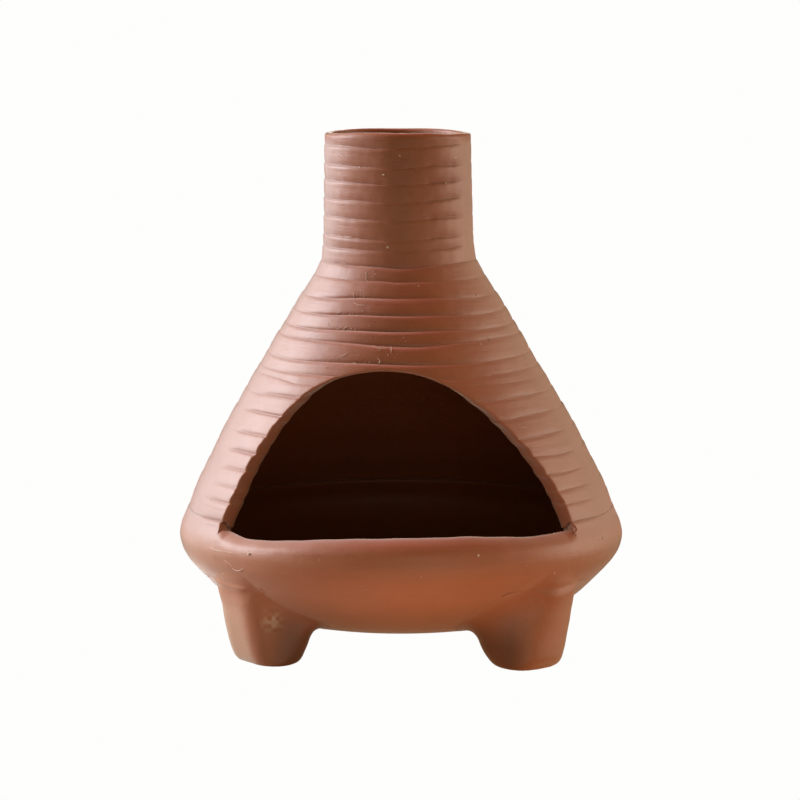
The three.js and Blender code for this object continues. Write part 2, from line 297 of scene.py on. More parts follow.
GROOVES = [Groove(i, *row) for i, row in enumerate(GROOVE_TABLE)]


def rings(phi, z):
    """Displacement of the wall (mm, negative inwards) and how deep in a groove it is."""
    phi, z = np.broadcast_arrays(np.asarray(phi, float), np.asarray(z, float))
    shift = np.zeros(phi.shape)
    cavity = np.zeros(phi.shape)
    for groove in GROOVES:
        dz = z - groove.z(phi)
        near = np.abs(dz) < 16
        if not near.any():
            continue
        depth = groove.depth(phi)
        # the ledges go soft towards the right front, above the shoulder
        soft = (0.62 if groove.in_flue else 0.35) * smooth(5, 30, turn(phi)) * (z > SHOULDER_TOP)
        sharp = groove.sharpness * (0.92 + 0.2 * groove.blunting(phi)) * (1 - soft)
        sharp = np.clip(sharp, 0.25, 1.1)
        tuck = 3.2 + 1.6 * (1 - sharp)        # reach of the broad tuck above the line
        score = 0.75 + 1.1 * (1 - sharp)      # half-width of the scored line itself
        ledge = 0.42 + 2.2 * (1 - sharp)      # drop of the steep ledge below it
        narrow = 0.30 if groove.in_flue else 0.46
        above = ((1 - narrow) * np.exp(-np.abs(dz / tuck) ** 1.5)
                 + narrow * np.exp(-np.abs(dz / score) ** 1.4))
        cut = np.where(dz >= 0, above, np.exp(-np.abs(dz / ledge) ** 1.1))
        shift -= np.where(near, depth * cut, 0)
        # the clay pushed up into a slight crest just under the ledge
        crest = CREST * depth * np.exp(-((dz + 1.9) / 1.5) ** 2)
        shift += np.where(near & (dz < 0), crest, 0)
        # the depth in the groove also sets the painted shade in it
        cavity = np.maximum(cavity, np.where(near, cut * np.clip(depth / 1.6, 0, 1), 0))
    return shift, cavity


def lean(z):
    """x of the pot's axis: the flue stands a touch to the left of the belly."""
    z = np.asarray(z, float)
    return (AXIS_X - 2.3 * smooth(120, 310, z) + 1.1 * np.exp(-(((z - 288) / 20) ** 2))
            + 0.9 * np.exp(-(((z - 256) / 20) ** 2)))


def shoulder_wall(phi, z):
    """Outside radius and groove depth of shoulder and flue."""
    shift, cavity = rings(phi, z)
    uneven = 0.42 * lump(phi, z) + 0.16 * lump_mid(phi, z) + 0.05 * lump_fine(phi, z)
    return outside_r(z) + shift + uneven * smooth(100, 130, z) + 0.15, cavity


def bowl_unevenness(phi, z):
    return (0.35 * bowl_lump(phi, z) + 0.14 * bowl_lump_mid(phi, z)) * smooth(64, 80, z)


def bowl_wall(phi, z):
    """Outside radius and groove depth of the bowl."""
    shift, cavity = rings(phi, z)
    return (outside_r(z) + shift + bowl_unevenness(phi, z)
            + 0.42 * lump(phi, z) * smooth(100, 130, z) + 0.1), cavity


def bowl_underside(phi, r):
    return underside_z(r) - 0.25 * bowl_lump(phi, np.clip(r, 0, 160)) * smooth(20, 80, r)


def xyz(phi, r, z):
    """Points from angle, radius and height."""
    a = np.asarray(phi, float) * RAD
    r = np.asarray(r, float)
    z = np.asarray(z, float)
    return np.stack(np.broadcast_arrays(r * np.sin(a) + lean(z), -r * np.cos(a), z), -1)


# ------------------------------------------------------------------ mesh helpers
def make_piece(node, verts, faces, attributes, slot, material, suffix="_clay"):
    """verts in mm (N, 3); faces as a list of arrays (M, 3) or (M, 4)."""
    verts = np.asarray(verts, float)
    polys = [np.asarray(f, np.int32) for f in faces]
    loops = np.concatenate([f.ravel() for f in polys])
    sizes = np.concatenate([np.full(len(f), f.shape[1], np.int32) for f in polys])
    used = np.zeros(len(verts), bool)
    used[loops] = True
    verts = verts[used]
    loops = (np.cumsum(used) - 1)[loops].astype(np.int32)
    mesh = bpy.data.meshes.new(node + suffix)
    mesh.vertices.add(len(verts))
    mesh.vertices.foreach_set("co", (verts * 0.001).astype(np.float32).ravel())
    mesh.loops.add(len(loops))
    mesh.loops.foreach_set("vertex_index", loops)
    mesh.polygons.add(len(sizes))
    starts = np.concatenate([[0], np.cumsum(sizes)[:-1]]).astype(np.int32)
    mesh.polygons.foreach_set("loop_start", starts)
    mesh.polygons.foreach_set("use_smooth", np.ones(len(sizes), bool))
    mesh.update(calc_edges=True)
    for key, values in attributes.items():
        attribute = mesh.attributes.new(key, "FLOAT", "POINT")
        attribute.data.foreach_set("value", np.asarray(values, np.float32)[used])
    mesh.validate(verbose=False)    # mends any degenerate face
    piece = bpy.data.objects.new(node + suffix, mesh)
    bpy.context.scene.collection.objects.link(piece)
    mesh.materials.append(material)
    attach(piece, "root")
    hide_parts(node)


def facets(*corners):
    """Faces from index arrays (or single indices), one per corner."""
    return np.stack(np.broadcast_arrays(*corners), -1)


def grid_faces(rows, columns):
    """Quads of a grid whose columns wrap round."""
    j = np.arange(rows - 1)[:, None] * columns
    i = np.arange(columns)[None, :]
    i2 = (i + 1) % columns
    return facets(j + i, j + i2, j + columns + i2, j + columns + i).reshape(-1, 4)


def lathe(rows, poles=None):
    """Skin over rings of points: capped at two poles, or the last ring joined to the first."""
    rows = np.stack(rows)
    count, columns = rows.shape[:2]
    verts = rows.reshape(-1, 3)
    quads = grid_faces(count, columns)
    i = np.arange(columns)
    i2 = (i + 1) % columns
    last = (count - 1) * columns
    if poles is None:
        return verts, [np.concatenate([quads, facets(last + i, last + i2, i2, i)])]
    tip = len(verts)
    tris = np.concatenate([facets(tip, i2, i), facets(last + i, last + i2, tip + 1)])
    return np.concatenate([verts, np.array(poles, float)]), [quads, tris]


class Turning:
    """Rings of one turned piece, with the attributes of each."""

    def __init__(self, phi):
        self.phi = phi
        self.rows, self.cav, self.soot = [], [], []

    def ring(self, r, z, cav=0.0, soot=0.0):
        self.rows.append(xyz(self.phi, r, z))
        self.cav.append(np.broadcast_to(cav, self.phi.shape))
        self.soot.append(np.broadcast_to(soot, self.phi.shape))


# ------------------------------------------------------------------ the cut opening
MM_PER_DEGREE = 2.45                    # scale that flattens phi for the outline's distances
ROUND_OUTER, ROUND_INNER = 1.35, 2.2    # radii of the cut's edges


def signed_distance(points, outline):
    """Distance to a closed outline, negative inside it, and the nearest point on it."""
    start = outline
    end = np.roll(outline, -1, 0)
    side = end - start
    length2 = (side**2).sum(1)
    distance = np.empty(len(points))
    nearest = np.empty_like(points)
    chunk = 6000
    for s in range(0, len(points), chunk):
        p = points[s : s + chunk]
        from_start = p[:, None, :] - start[None]
        t = np.clip((from_start * side[None]).sum(2) / length2[None], 0, 1)
        q = start[None] + t[..., None] * side[None]
        d2 = ((p[:, None, :] - q) ** 2).sum(2)
        i = d2.argmin(1)
        k = np.arange(len(p))
        distance[s : s + chunk] = np.sqrt(d2[k, i])
        nearest[s : s + chunk] = q[k, i]
    inside = np.zeros(len(points), bool)
    for (x0, y0), (x1, y1) in zip(start, end):
        if y0 == y1:
            continue
        inside ^= ((y0 > points[:, 1]) != (y1 > points[:, 1])) & (
            points[:, 0] < (x1 - x0) * (points[:, 1] - y0) / (y1 - y0) + x0
        )
    distance[inside] *= -1
    return distance, nearest


def nearer_ends(first, second):
    """Masks of the neighbour nearer the outline, for each pair that straddles it."""
    cross = first * second < 0
    nearer = np.abs(first) <= np.abs(second)
    return cross & nearer, cross & ~nearer


def snap_to_outline(phi, z, outline):
    """Pull the grid points next to the outline onto it; the bottom row keeps its height.

    Returns phi, z and side: 1 outside the opening, 0 on its outline, -1 within."""
    phi, z = phi.copy(), z.copy()
    gap = np.full(phi.shape, 1e3)
    nearest = np.zeros(phi.shape + (2,))
    low, high = outline.min(0) - 12, outline.max(0) + 12
    flat = phi * MM_PER_DEGREE
    window = (flat > low[0]) & (flat < high[0]) & (z > low[1]) & (z < high[1])
    gap[window], nearest[window] = signed_distance(
        np.stack([flat[window], z[window]], 1), outline)
    here, beside = nearer_ends(gap, np.roll(gap, -1, 1))
    marked = here | np.roll(beside, 1, 1)
    here, above = nearer_ends(gap[:-1], gap[1:])
    marked[:-1] |= here
    marked[1:] |= above
    phi[marked] = nearest[marked][:, 0] / MM_PER_DEGREE
    free = marked.copy()
    free[0] = False
    z[free] = nearest[free][:, 1]
    gap[marked] = 0.0
    return phi, z, np.sign(gap).astype(int)


def open_faces(side):
    """Quads and triangles outside the opening, and their directed boundary edges."""
    cells = grid_faces(*side.shape)
    corners = side.ravel()[cells]
    quads = cells[(corners >= 0).all(-1) & (corners.sum(-1) > 0)]
    mixed = (corners > 0).any(-1) & (corners < 0).any(-1)
    tris = []
    for k in range(4):
        before, after = (k + 3) % 4, (k + 1) % 4
        pick = (mixed & (corners[:, k] > 0) & (corners[:, after] == 0)
                & (corners[:, before] == 0))
        tris.append(cells[pick][:, [before, k, after]])
    tris = np.concatenate(tris)
    edges = np.concatenate([f[:, [k, (k + 1) % f.shape[1]]]
                            for f in (quads, tris) for k in range(f.shape[1])])
    forward = edges[:, 0].astype(np.int64) * side.size + edges[:, 1]
    backward = edges[:, 1].astype(np.int64) * side.size + edges[:, 0]
    return quads, tris, edges[~np.isin(forward, backward)]


def slerp(start, end, t):
    """Direction part way from start to end, and the whole angle between them."""
    angle = np.arccos(np.clip((start * end).sum(-1), -1, 1))
    sine = np.maximum(np.sin(angle), 1e-6)
    out = (start * (np.sin((1 - t) * angle) / sine)[:, None]
           + end * (np.sin(t * angle) / sine)[:, None])
    return unit(out), angle


def jamb_chain(outer, inner, following, previous, slope, on_cut):
    """Cut face of the wall: rounded outer edge, flat cut, rounded inner edge (9 points)."""
    own = np.arange(len(outer))
    ahead = np.where(on_cut[following], following, own)
    behind = np.where(on_cut[previous], previous, own)
    along = unit(inner[ahead] - inner[behind])
    for _ in range(6):
        along = unit(along + along[ahead] + along[behind])
    outward = outer - inner
    outward[:, 2] = 0
    outward = unit(outward)
    normal = outward * np.cos(slope)[:, None] + np.array([0, 0, 1.0]) * np.sin(slope)[:, None]
    into_opening = unit(np.cross(along, normal))

    def rounded(point, towards, radius, count):
        points = []
        for k in range(count):
            direction, angle = slerp(into_opening, towards, (k + 0.5) / count)
            point = point + direction * (radius * angle / count)[:, None]
            points.append(point)
        return points

    front = rounded(outer, -outward, ROUND_OUTER, 4)
    back = rounded(inner, outward, ROUND_INNER, 3)
    face = back[-1] - front[-1]
    flat = [front[-1] + face * 0.33, front[-1] + face * 0.68]
    return np.stack(front + flat + back[::-1], 1)


# ------------------------------------------------------------------ grit stuck to the clay
GRAIN_SCALE = 1.7       # radius in mm per unit of the grain tables' size


def icosphere():
    """Icosahedron with each face split in four, on the unit sphere."""
    t = (1 + 5**0.5) / 2
    verts = list(np.array([
        [-1, t, 0], [1, t, 0], [-1, -t, 0], [1, -t, 0], [0, -1, t], [0, 1, t],
        [0, -1, -t], [0, 1, -t], [t, 0, -1], [t, 0, 1], [-t, 0, -1], [-t, 0, 1]], float))
    faces = [
        [0, 11, 5], [0, 5, 1], [0, 1, 7], [0, 7, 10], [0, 10, 11], [1, 5, 9], [5, 11, 4],
        [11, 10, 2], [10, 7, 6], [7, 1, 8], [3, 9, 4], [3, 4, 2], [3, 2, 6], [3, 6, 8],
        [3, 8, 9], [4, 9, 5], [2, 4, 11], [6, 2, 10], [8, 6, 7], [9, 8, 1]]
    middles = {}
    split = []
    for a, b, c in faces:
        m = []
        for i, j in ((a, b), (b, c), (c, a)):
            key = (min(i, j), max(i, j))
            if key not in middles:
                middles[key] = len(verts)
                verts.append((verts[i] + verts[j]) / 2)
            m.append(middles[key])
        split += [[a, m[0], m[2]], [b, m[1], m[0]], [c, m[2], m[1]], m]
    return unit(np.array(verts)), np.array(split)


BALL_VERTS, BALL_FACES = icosphere()


def grain(rng, wall, phi, z, size, pale):
    """One crumb pressed into the skin: a lumpy pebble, closed."""
    verts = BALL_VERTS * (1 + 0.22 * rng.standard_normal((len(BALL_VERTS), 1)).clip(-1, 1))
    verts = verts * (size * rng.uniform(0.65, 1.25, 3))
    return xyz(phi, float(wall(phi, z)[0]) + 0.12 * size, z) + verts, BALL_FACES, pale


def burr(rng, wall, points, size, pale):
    """A thin curl of clay thrown up beside a scratch, lying on the skin."""
    path = curve_through(np.array(points, float), 3)
    n = len(path)
    centre = xyz(path[:, 0], wall(path[:, 0], path[:, 1])[0] + 0.1 * size, path[:, 1])
    along = unit(np.gradient(centre, axis=0))
    angle = path[:, 0] * RAD
    normal = np.stack([np.sin(angle), -np.cos(angle), 0 * angle], 1)
    across = unit(np.cross(along, normal))
    normal = np.cross(across, along)
    sides = 6
    turns = np.arange(sides) * 2 * math.pi / sides
    taper = np.sin(np.linspace(0.12, math.pi - 0.12, n)) ** 0.7
    width = size * (0.25 + 0.75 * taper)
    width = width * (1 + 0.25 * rng.standard_normal(n).clip(-1, 1))
    tube = (centre[:, None] + width[:, None, None] * (
        np.cos(turns)[None, :, None] * across[:, None]
        + np.sin(turns)[None, :, None] * normal[:, None]))
    verts = np.concatenate([tube.reshape(-1, 3), centre[:1] - along[:1] * size * 0.5,
                            centre[-1:] + along[-1:] * size * 0.5])
    i = np.arange(sides)
    i2 = (i + 1) % sides
    faces = []
    for j in range(n - 1):
        here, ahead = j * sides, (j + 1) * sides
        faces += [facets(here + i, here + i2, ahead + i2), facets(here + i, ahead + i2, ahead + i)]
    tip, last = n * sides, (n - 1) * sides
    faces += [facets(tip, i2, i), facets(tip + 1, last + i, last + i2)]
    return verts, np.concatenate(faces), pale


def pale_grains(rng, wall, table):
    """Grains from rows of (phi, z, size)."""
    return [grain(rng, wall, phi, z, GRAIN_SCALE * size, 1.0) for phi, z, size in table]


def burrs(rng, wall, table, scale, pale):
    """Burrs from rows of (path of (phi, z), width)."""
    return [burr(rng, wall, path, scale * width, pale) for path, width in table]


def with_bits(verts, faces, cav, soot, bits):
    """Add closed crumbs to a piece; attribute grog carries their paleness."""
    all_verts, tris, grog = [verts], [], [np.zeros(len(verts))]
    total = len(verts)
    for bit_verts, bit_faces, pale in bits:
        all_verts.append(bit_verts)
        tris.append(bit_faces + total)
        grog.append(np.full(len(bit_verts), pale))
        total += len(bit_verts)
    extra = np.zeros(total - len(verts))
    attributes = dict(cav=np.concatenate([cav, extra]), soot=np.concatenate([soot, extra]),
                      grog=np.concatenate(grog))
    return np.concatenate(all_verts), faces + [np.concatenate(tris)], attributes


# ------------------------------------------------------------------ materials
def srgb(*channels):
    """Linear colour from 0..255 sRGB values."""
    def linear(c):
        return c / 12.92 if c <= 0.04045 else ((c + 0.055) / 1.055) ** 2.4

    return (*(linear(c / 255) for c in channels), 1.0)


class Shader:
    """Node tree of a material or world, with short ways to add its nodes."""

    def __init__(self, owner, output="ShaderNodeOutputMaterial"):
        owner.use_nodes = True
        self.tree = owner.node_tree
        self.tree.nodes.clear()
        self.output = self.node(output)

    def node(self, kind, inputs=None, **settings):
        """inputs maps a socket's name or index to a value or to another socket."""
        node = self.tree.nodes.new(kind)
        for key, value in settings.items():
            setattr(node, key, value)
        for key, value in (inputs or {}).items():
            if isinstance(value, bpy.types.NodeSocket):
                self.tree.links.new(value, node.inputs[key])
            else:
                node.inputs[key].default_value = value
        return node

    def finish(self, shader):
        self.tree.links.new(shader.outputs[0], self.output.inputs[0])

    def math(self, operation, *values):
        return self.node("ShaderNodeMath", dict(enumerate(values)), operation=operation).outputs[0]

    def times(self, a, b):
        return self.math("MULTIPLY", a, b)

    def plus(self, a, b):
        return self.math("ADD", a, b)

    def minus(self, a, b):
        return self.math("SUBTRACT", a, b)

    def mix(self, factor, a, b):
        return self.node("ShaderNodeMix", {0: factor, 6: a, 7: b}, data_type="RGBA").outputs[2]

    def stain(self, base, mask, amount, colour):
        return self.mix(self.times(mask, amount), base, colour)

    def ramp(self, factor, stops):
        node = self.node("ShaderNodeValToRGB", {0: factor})
        elements = node.color_ramp.elements
        while len(elements) < len(stops):
            elements.new(0.5)
        for element, (position, colour) in zip(elements, stops):
            element.position = position
            element.color = colour
        return node.outputs[0]

    def fade(self, factor, black, white):
        """Ramp from black to white between two positions."""
        return self.ramp(factor, [(black, (0, 0, 0, 1)), (white, (1, 1, 1, 1))])

    def smoothstep(self, value, start, end, low=0.0, high=1.0):
        return self.node("ShaderNodeMapRange", {0: value, 1: start, 2: end, 3: low, 4: high},
                         interpolation_type="SMOOTHSTEP").outputs[0]

    def noise(self, position, scale, detail, roughness=0.5, w=None):
        inputs = {"Vector": position, "Scale": scale, "Detail": detail, "Roughness": roughness}
        if w is not None:
            inputs["W"] = w
        return self.node("ShaderNodeTexNoise", inputs,
                         noise_dimensions="3D" if w is None else "4D").outputs[0]

    def vector(self, operation, a, b):
        return self.node("ShaderNodeVectorMath", {0: a, 1: b}, operation=operation).outputs[0]

    def position(self):
        return self.node("ShaderNodeTexCoord").outputs["Object"]

    def attribute(self, name):
        return self.node("ShaderNodeAttribute", attribute_name=name).outputs["Fac"]

    def grains(self, position, scale, threshold, radius, w):
        """Mask of scattered round grains: cells above the threshold, up to the radius."""
        cells = self.node("ShaderNodeTexVoronoi", {"Vector": position, "W": w, "Scale": scale},
                          voronoi_dimensions="4D")

        def channel(index):
            return self.node("ShaderNodeSeparateColor", {0: cells.outputs["Color"]}).outputs[index]

        pick = self.math("GREATER_THAN", channel(0), threshold)
        size = self.times(channel(1), radius)
        return self.times(pick, self.math("LESS_THAN", cells.outputs["Distance"], size))


INNER_SHADE_STRENGTH = 1.0
EDGE_SHEEN = 0.44             # most painted sheen, where the skin is seen edge-on


def painted_low_light_and_shade(tree, body, bounce_warmth, foot, X, Z):
    """Painted warm bounce light under the turn of the belly, and painted shade low down."""
    # painted warm bounce light under the turn of the belly
    low = tree.smoothstep(Z, 0.084, 0.106, low=bounce_warmth, high=0.0)
    body = tree.mix(low, body, srgb(190, 113, 74))
    if not foot:    # painted shade along the lowest edge of the bowl
        edge = tree.smoothstep(Z, 0.036, 0.058, low=0.45, high=0.0)
        return tree.mix(edge, body, srgb(120, 58, 34))
    # painted shade low on the inner sides of the feet
    inner = tree.smoothstep(tree.math("ABSOLUTE", X), 0.080, 0.102, low=1.0, high=0.0)
    down = tree.smoothstep(Z, 0.018, 0.056, low=0.62, high=0.0)
    return tree.mix(tree.times(inner, down), body, srgb(74, 38, 27))


def painted_edge_sheen(tree, body, foot, inner_shade_mask, X, Z):
    """Painted sheen: paler where the skin is seen edge-on, standing in for grazing highlights."""
    edge_on = tree.node("ShaderNodeLayerWeight", {"Blend": 0.5}).outputs["Facing"]
    edge_sheen = tree.smoothstep(edge_on, 0.14, 0.86)
    # the painted sheen is fainter and warmer under the turn of the belly, the same on every piece
    under = tree.smoothstep(Z, 0.068, 0.106, low=1.0, high=0.0)
    # the painted sheen also fades low on the feet
    if foot:
        low = tree.smoothstep(Z, 0.034, 0.058, low=1.0, high=0.0)
    less = tree.times(under, 0.30)
    if foot:
        less = tree.times(less, tree.minus(1.0, low))
    edge_sheen = tree.times(edge_sheen, tree.minus(EDGE_SHEEN, less))
    edge_sheen = tree.times(edge_sheen, tree.smoothstep(Z, 0.391, 0.398, low=1.0, high=0.30))  # at the lip
    if foot:    # painted shade: less painted sheen on the inner sides of the feet
        left = tree.smoothstep(tree.times(X, -1.0), 0.086, 0.116, low=0.10, high=1.15)
        right = tree.smoothstep(X, 0.086, 0.118, low=0.0, high=0.45)
        sides = tree.plus(left, right)
        edge_sheen = tree.times(edge_sheen, tree.plus(tree.times(sides, low), tree.minus(1.0, low)))
    else:
        edge_sheen = tree.times(edge_sheen, tree.minus(1.0, inner_shade_mask))
    return tree.mix(edge_sheen, body, tree.mix(under, srgb(236, 220, 220), srgb(240, 212, 188)))


def terracotta(name, bounce_warmth=0.0, streak=1.0, foot=False):
    """Unglazed thrown clay: mottled body, painted edge-on sheen, throwing lines, grog and
    pinholes.

    bounce_warmth is the painted warm bounce light under the belly, streak the strength of the
    fine turning lines; the feet have no painted inner shade."""
    material = bpy.data.materials.new(name)
    tree = Shader(material)
    position = tree.position()
    X, Y, Z = tree.node("ShaderNodeSeparateXYZ", {0: position}).outputs
    angle = tree.math("ARCTAN2", X, tree.times(Y, -1.0))
    unrolled = tree.node("ShaderNodeCombineXYZ", {0: tree.times(angle, 0.10), 1: 1.0, 2: Z})

    big = tree.noise(position, scale=13.0, detail=3.0, roughness=0.55, w=1.0)
    mid = tree.noise(position, scale=70.0, detail=4.0, roughness=0.6, w=4.0)
    fine = tree.noise(position, scale=900.0, detail=3.0, roughness=0.6, w=6.0)
    stretched = tree.vector("MULTIPLY", unrolled.outputs[0], (22.0, 1.0, 520.0))
    lines = tree.noise(stretched, scale=1.0, detail=3.0, roughness=0.6)

    body = tree.ramp(big, [(0.30, srgb(158, 82, 52)), (0.50, srgb(168, 92, 60)),
                           (0.70, srgb(176, 102, 71))])
    body = tree.stain(body, tree.fade(mid, 0.35, 0.7), 0.42, srgb(184, 112, 82))
    body = tree.stain(body, tree.fade(lines, 0.42, 0.70), 0.16 * streak, srgb(144, 74, 46))
    body = tree.stain(body, tree.fade(fine, 0.45, 0.72), 0.16, srgb(194, 130, 100))
    # painted shade: darker and redder deep in the grooves, and on the feet towards the ground and
    # on the inner sides
    body = tree.stain(body, tree.attribute("cav"), 0.30, srgb(126, 60, 36))
    if bounce_warmth:
        body = painted_low_light_and_shade(tree, body, bounce_warmth, foot, X, Z)

    # pale grog in two sizes and dark pinholes: sparse, most under a millimetre across
    grog = tree.grains(position, scale=210.0, threshold=0.972, radius=0.24, w=1.3)
    small_grog = tree.grains(position, scale=420.0, threshold=0.978, radius=0.26, w=2.3)
    pinholes = tree.grains(position, scale=330.0, threshold=0.975, radius=0.22, w=3.3)
    body = tree.stain(body, grog, 0.85, srgb(232, 205, 182))
    body = tree.stain(body, small_grog, 0.55, srgb(222, 190, 166))
    body = tree.stain(body, pinholes, 0.55, srgb(92, 50, 34))

    rough = tree.plus(0.47, tree.times(mid, 0.14))
    inner_shade_mask = None
    # painted inner shade: a deeper orange-brown, a little rougher, over the hollow inside and the
    # cut faces
    if not foot:
        soot = tree.times(tree.attribute("soot"), INNER_SHADE_STRENGTH)
        ragged = tree.plus(soot, tree.times(tree.minus(mid, 0.5), 0.55))
        inner_shade_mask = tree.smoothstep(ragged, 0.22, 0.80)
        inner_shade_colour = tree.mix(tree.fade(big, 0.35, 0.7), srgb(142, 67, 9), srgb(148, 73, 12))
        body = tree.stain(body, inner_shade_mask, 0.97, inner_shade_colour)
        rough = tree.plus(rough, tree.times(inner_shade_mask, 0.08))

    # relief in metres
    height = tree.times(fine, 0.00016)
    height = tree.plus(height, tree.times(mid, 0.00055))
    height = tree.plus(height, tree.times(lines, 0.00024 * streak))
    height = tree.plus(height, tree.times(grog, 0.00030))
    height = tree.minus(height, tree.times(pinholes, 0.00035))
    bump = tree.node("ShaderNodeBump", {"Height": height, "Strength": 0.85, "Distance": 1.0})
    body = tree.stain(body, tree.attribute("grog"), 0.9, srgb(236, 212, 192))
    body = painted_edge_sheen(tree, body, foot, inner_shade_mask, X, Z)
    tree.finish(tree.node("ShaderNodeBsdfPrincipled", {
        "Base Color": body, "Roughness": rough, "Normal": bump.outputs[0],
        "Specular IOR Level": 1.0, "Sheen Weight": 1.0, "Sheen Roughness": 0.30,
        "Sheen Tint": srgb(255, 236, 228)}))
    return material


def grit(name):
    """Dark crushed lava."""
    material = bpy.data.materials.new(name)
    tree = Shader(material)
    position = tree.position()
    big = tree.noise(position, scale=60.0, detail=4.0)
    fine = tree.noise(position, scale=600.0, detail=4.0, roughness=0.7)
    cells = tree.node("ShaderNodeTexVoronoi", {"Vector": position, "Scale": 420.0})
    body = tree.ramp(big, [(0.30, srgb(30, 24, 21)), (0.55, srgb(52, 41, 35)),
                           (0.75, srgb(74, 54, 44))])
    body = tree.stain(body, tree.fade(fine, 0.5, 0.75), 0.35, srgb(96, 84, 76))
    height = tree.plus(tree.times(fine, 0.0009), tree.times(cells.outputs["Distance"], 0.0006))
    bump = tree.node("ShaderNodeBump", {"Height": height, "Strength": 1.0, "Distance": 1.0})
    tree.finish(tree.node("ShaderNodeBsdfPrincipled", {
        "Base Color": body, "Roughness": 0.93, "Normal": bump.outputs[0],
        "Specular IOR Level": 0.25}))
    return material


LOW_CLAY = dict(bounce_warmth=0.52, streak=0.45)     # the pieces round and under the belly
BODY_CLAY = terracotta("clay_body")
BOWL_CLAY = terracotta("clay_bowl", **LOW_CLAY)
STACK_CLAY = terracotta("clay_stack")
COIL_CLAY = terracotta("clay_coil", **LOW_CLAY)
FEET_CLAY = terracotta("clay_feet", **LOW_CLAY, foot=True)
LAVA_GRIT = grit("lava_grit")


# ------------------------------------------------------------------ firebox_cone
# (phi, z) of the arch, from its left foot over the top to its right foot
MOUTH = np.array([
    [-55.4, 112], [-54.6, 120], [-54.0, 130], [-53.4, 142], [-52.4, 154], [-50.7, 164],
    [-49.2, 173], [-46.8, 184], [-43.6, 194], [-39.6, 203.5], [-34.0, 212.5],
    [-27.5, 218.5], [-21.0, 222.5], [-14.0, 225.0], [-6.8, 226.2], [0, 225.6],
    [5.0, 224.4], [10.0, 222.2], [14.7, 218.8], [19.2, 214.7], [24.2, 209.0],
    [29.0, 201.6], [33.8, 193.5], [37.3, 185.0], [41.0, 174.5], [44.6, 162.5],
    [47.7, 148.8], [49.9, 135.0], [51.2, 121.5], [51.8, 112]])
MOUTH_LEFT, MOUTH_RIGHT = -55.6, 52.0       # phi of the jambs

# the nine points of the shoulder's bottom edge: steps in from the skin, then radii; drops in z
FOOT_STEPS = (-0.3, -0.9, -1.8, -3.0)
FOOT_RADII = (160.1, 159.9, 158.9, 157.6, 156.3)
FOOT_RISE = np.array([0.02, 0.06, 0.12, 0.2, 0.2, -4.7, -4.8, -4.8, -4.75])
# and of its top edge, under the flue
CROWN_STEPS = (-0.5, -1.5)
CROWN_RADII = (56.2, 55.65, 55.55, 55.4, 54.6, 53.0, 51.4)
CROWN_RISE = (-0.02, -0.05, 0.0, 0.1)
CROWN_HEIGHTS = (303.0, 304.8, 305.3, 305.35, 305.3)

# crumbs dragged along by the finger, thickest on the left of the shoulder's front:
# phi, z, spread in phi, spread in z, count
CONE_CLUSTERS = (
    (-16, 297, 3, 2.0, 6), (-22, 294.5, 2, 2.5, 9), (-27, 280, 3, 1.6, 11),
    (-21, 272.5, 4, 2.2, 13), (-35, 266, 2, 0.5, 3), (-25, 265.3, 3, 0.7, 7),
    (-28, 255, 5, 0.8, 12), (-37, 257, 3, 0.6, 5), (-15, 250, 3, 1.2, 5),
    (0, 249, 2, 1.4, 4), (-6, 243, 3, 1.0, 8), (-3, 238, 2, 2.4, 5),
    (-24, 234, 5, 0.8, 9), (-17, 230.5, 3, 0.8, 6), (-32, 226, 5, 0.8, 8),
    (46, 214, 6, 6, 6), (150, 240, 30, 30, 14), (-140, 220, 30, 30, 14))
CONE_BURRS = (
    ([(-24, 296.5), (-22.6, 294), (-23.4, 291.5), (-21.8, 290)], 0.30),
    ([(-30, 281), (-28.5, 279.2), (-28.8, 277)], 0.30),
    ([(-27, 274), (-23, 272.6), (-19, 272.8)], 0.24),
    ([(-36.5, 265.0), (-35.4, 266.2), (-34.2, 266.0)], 0.34),
    ([(-29.6, 254.0), (-28.2, 256.0), (-27.0, 256.4)], 0.36),
    ([(-9.6, 235.4), (-8.4, 233.4), (-8.8, 231.2), (-9.8, 229.8)], 0.36),
    ([(-26.5, 235.2), (-24.5, 236.6), (-23.2, 237.6)], 0.34),
    ([(-20.5, 231.2), (-18.6, 230.4), (-17.2, 230.8)], 0.30),
    ([(-4.4, 244.6), (-3.6, 241.4), (-3.9, 238.4)], 0.22),
    ([(-12.5, 243.6), (-9.0, 242.2), (-5.4, 241.6)], 0.26),
    ([(46.5, 247.0), (47.6, 245.2), (47.0, 243.4)], 0.26),
    ([(44.0, 180.6), (45.5, 181.6), (47.0, 181.0)], 0.30))
CONE_GRAINS = (
    (53.9, 277.4, 0.42), (30, 262, 0.22), (-60, 236, 0.2), (-62, 196, 0.24), (57, 151, 0.2),
    (140, 180, 0.35), (-120, 250, 0.3), (95, 230, 0.3), (-95, 150, 0.3), (175, 140, 0.35),
    (-165, 205, 0.25), (110, 130, 0.3))


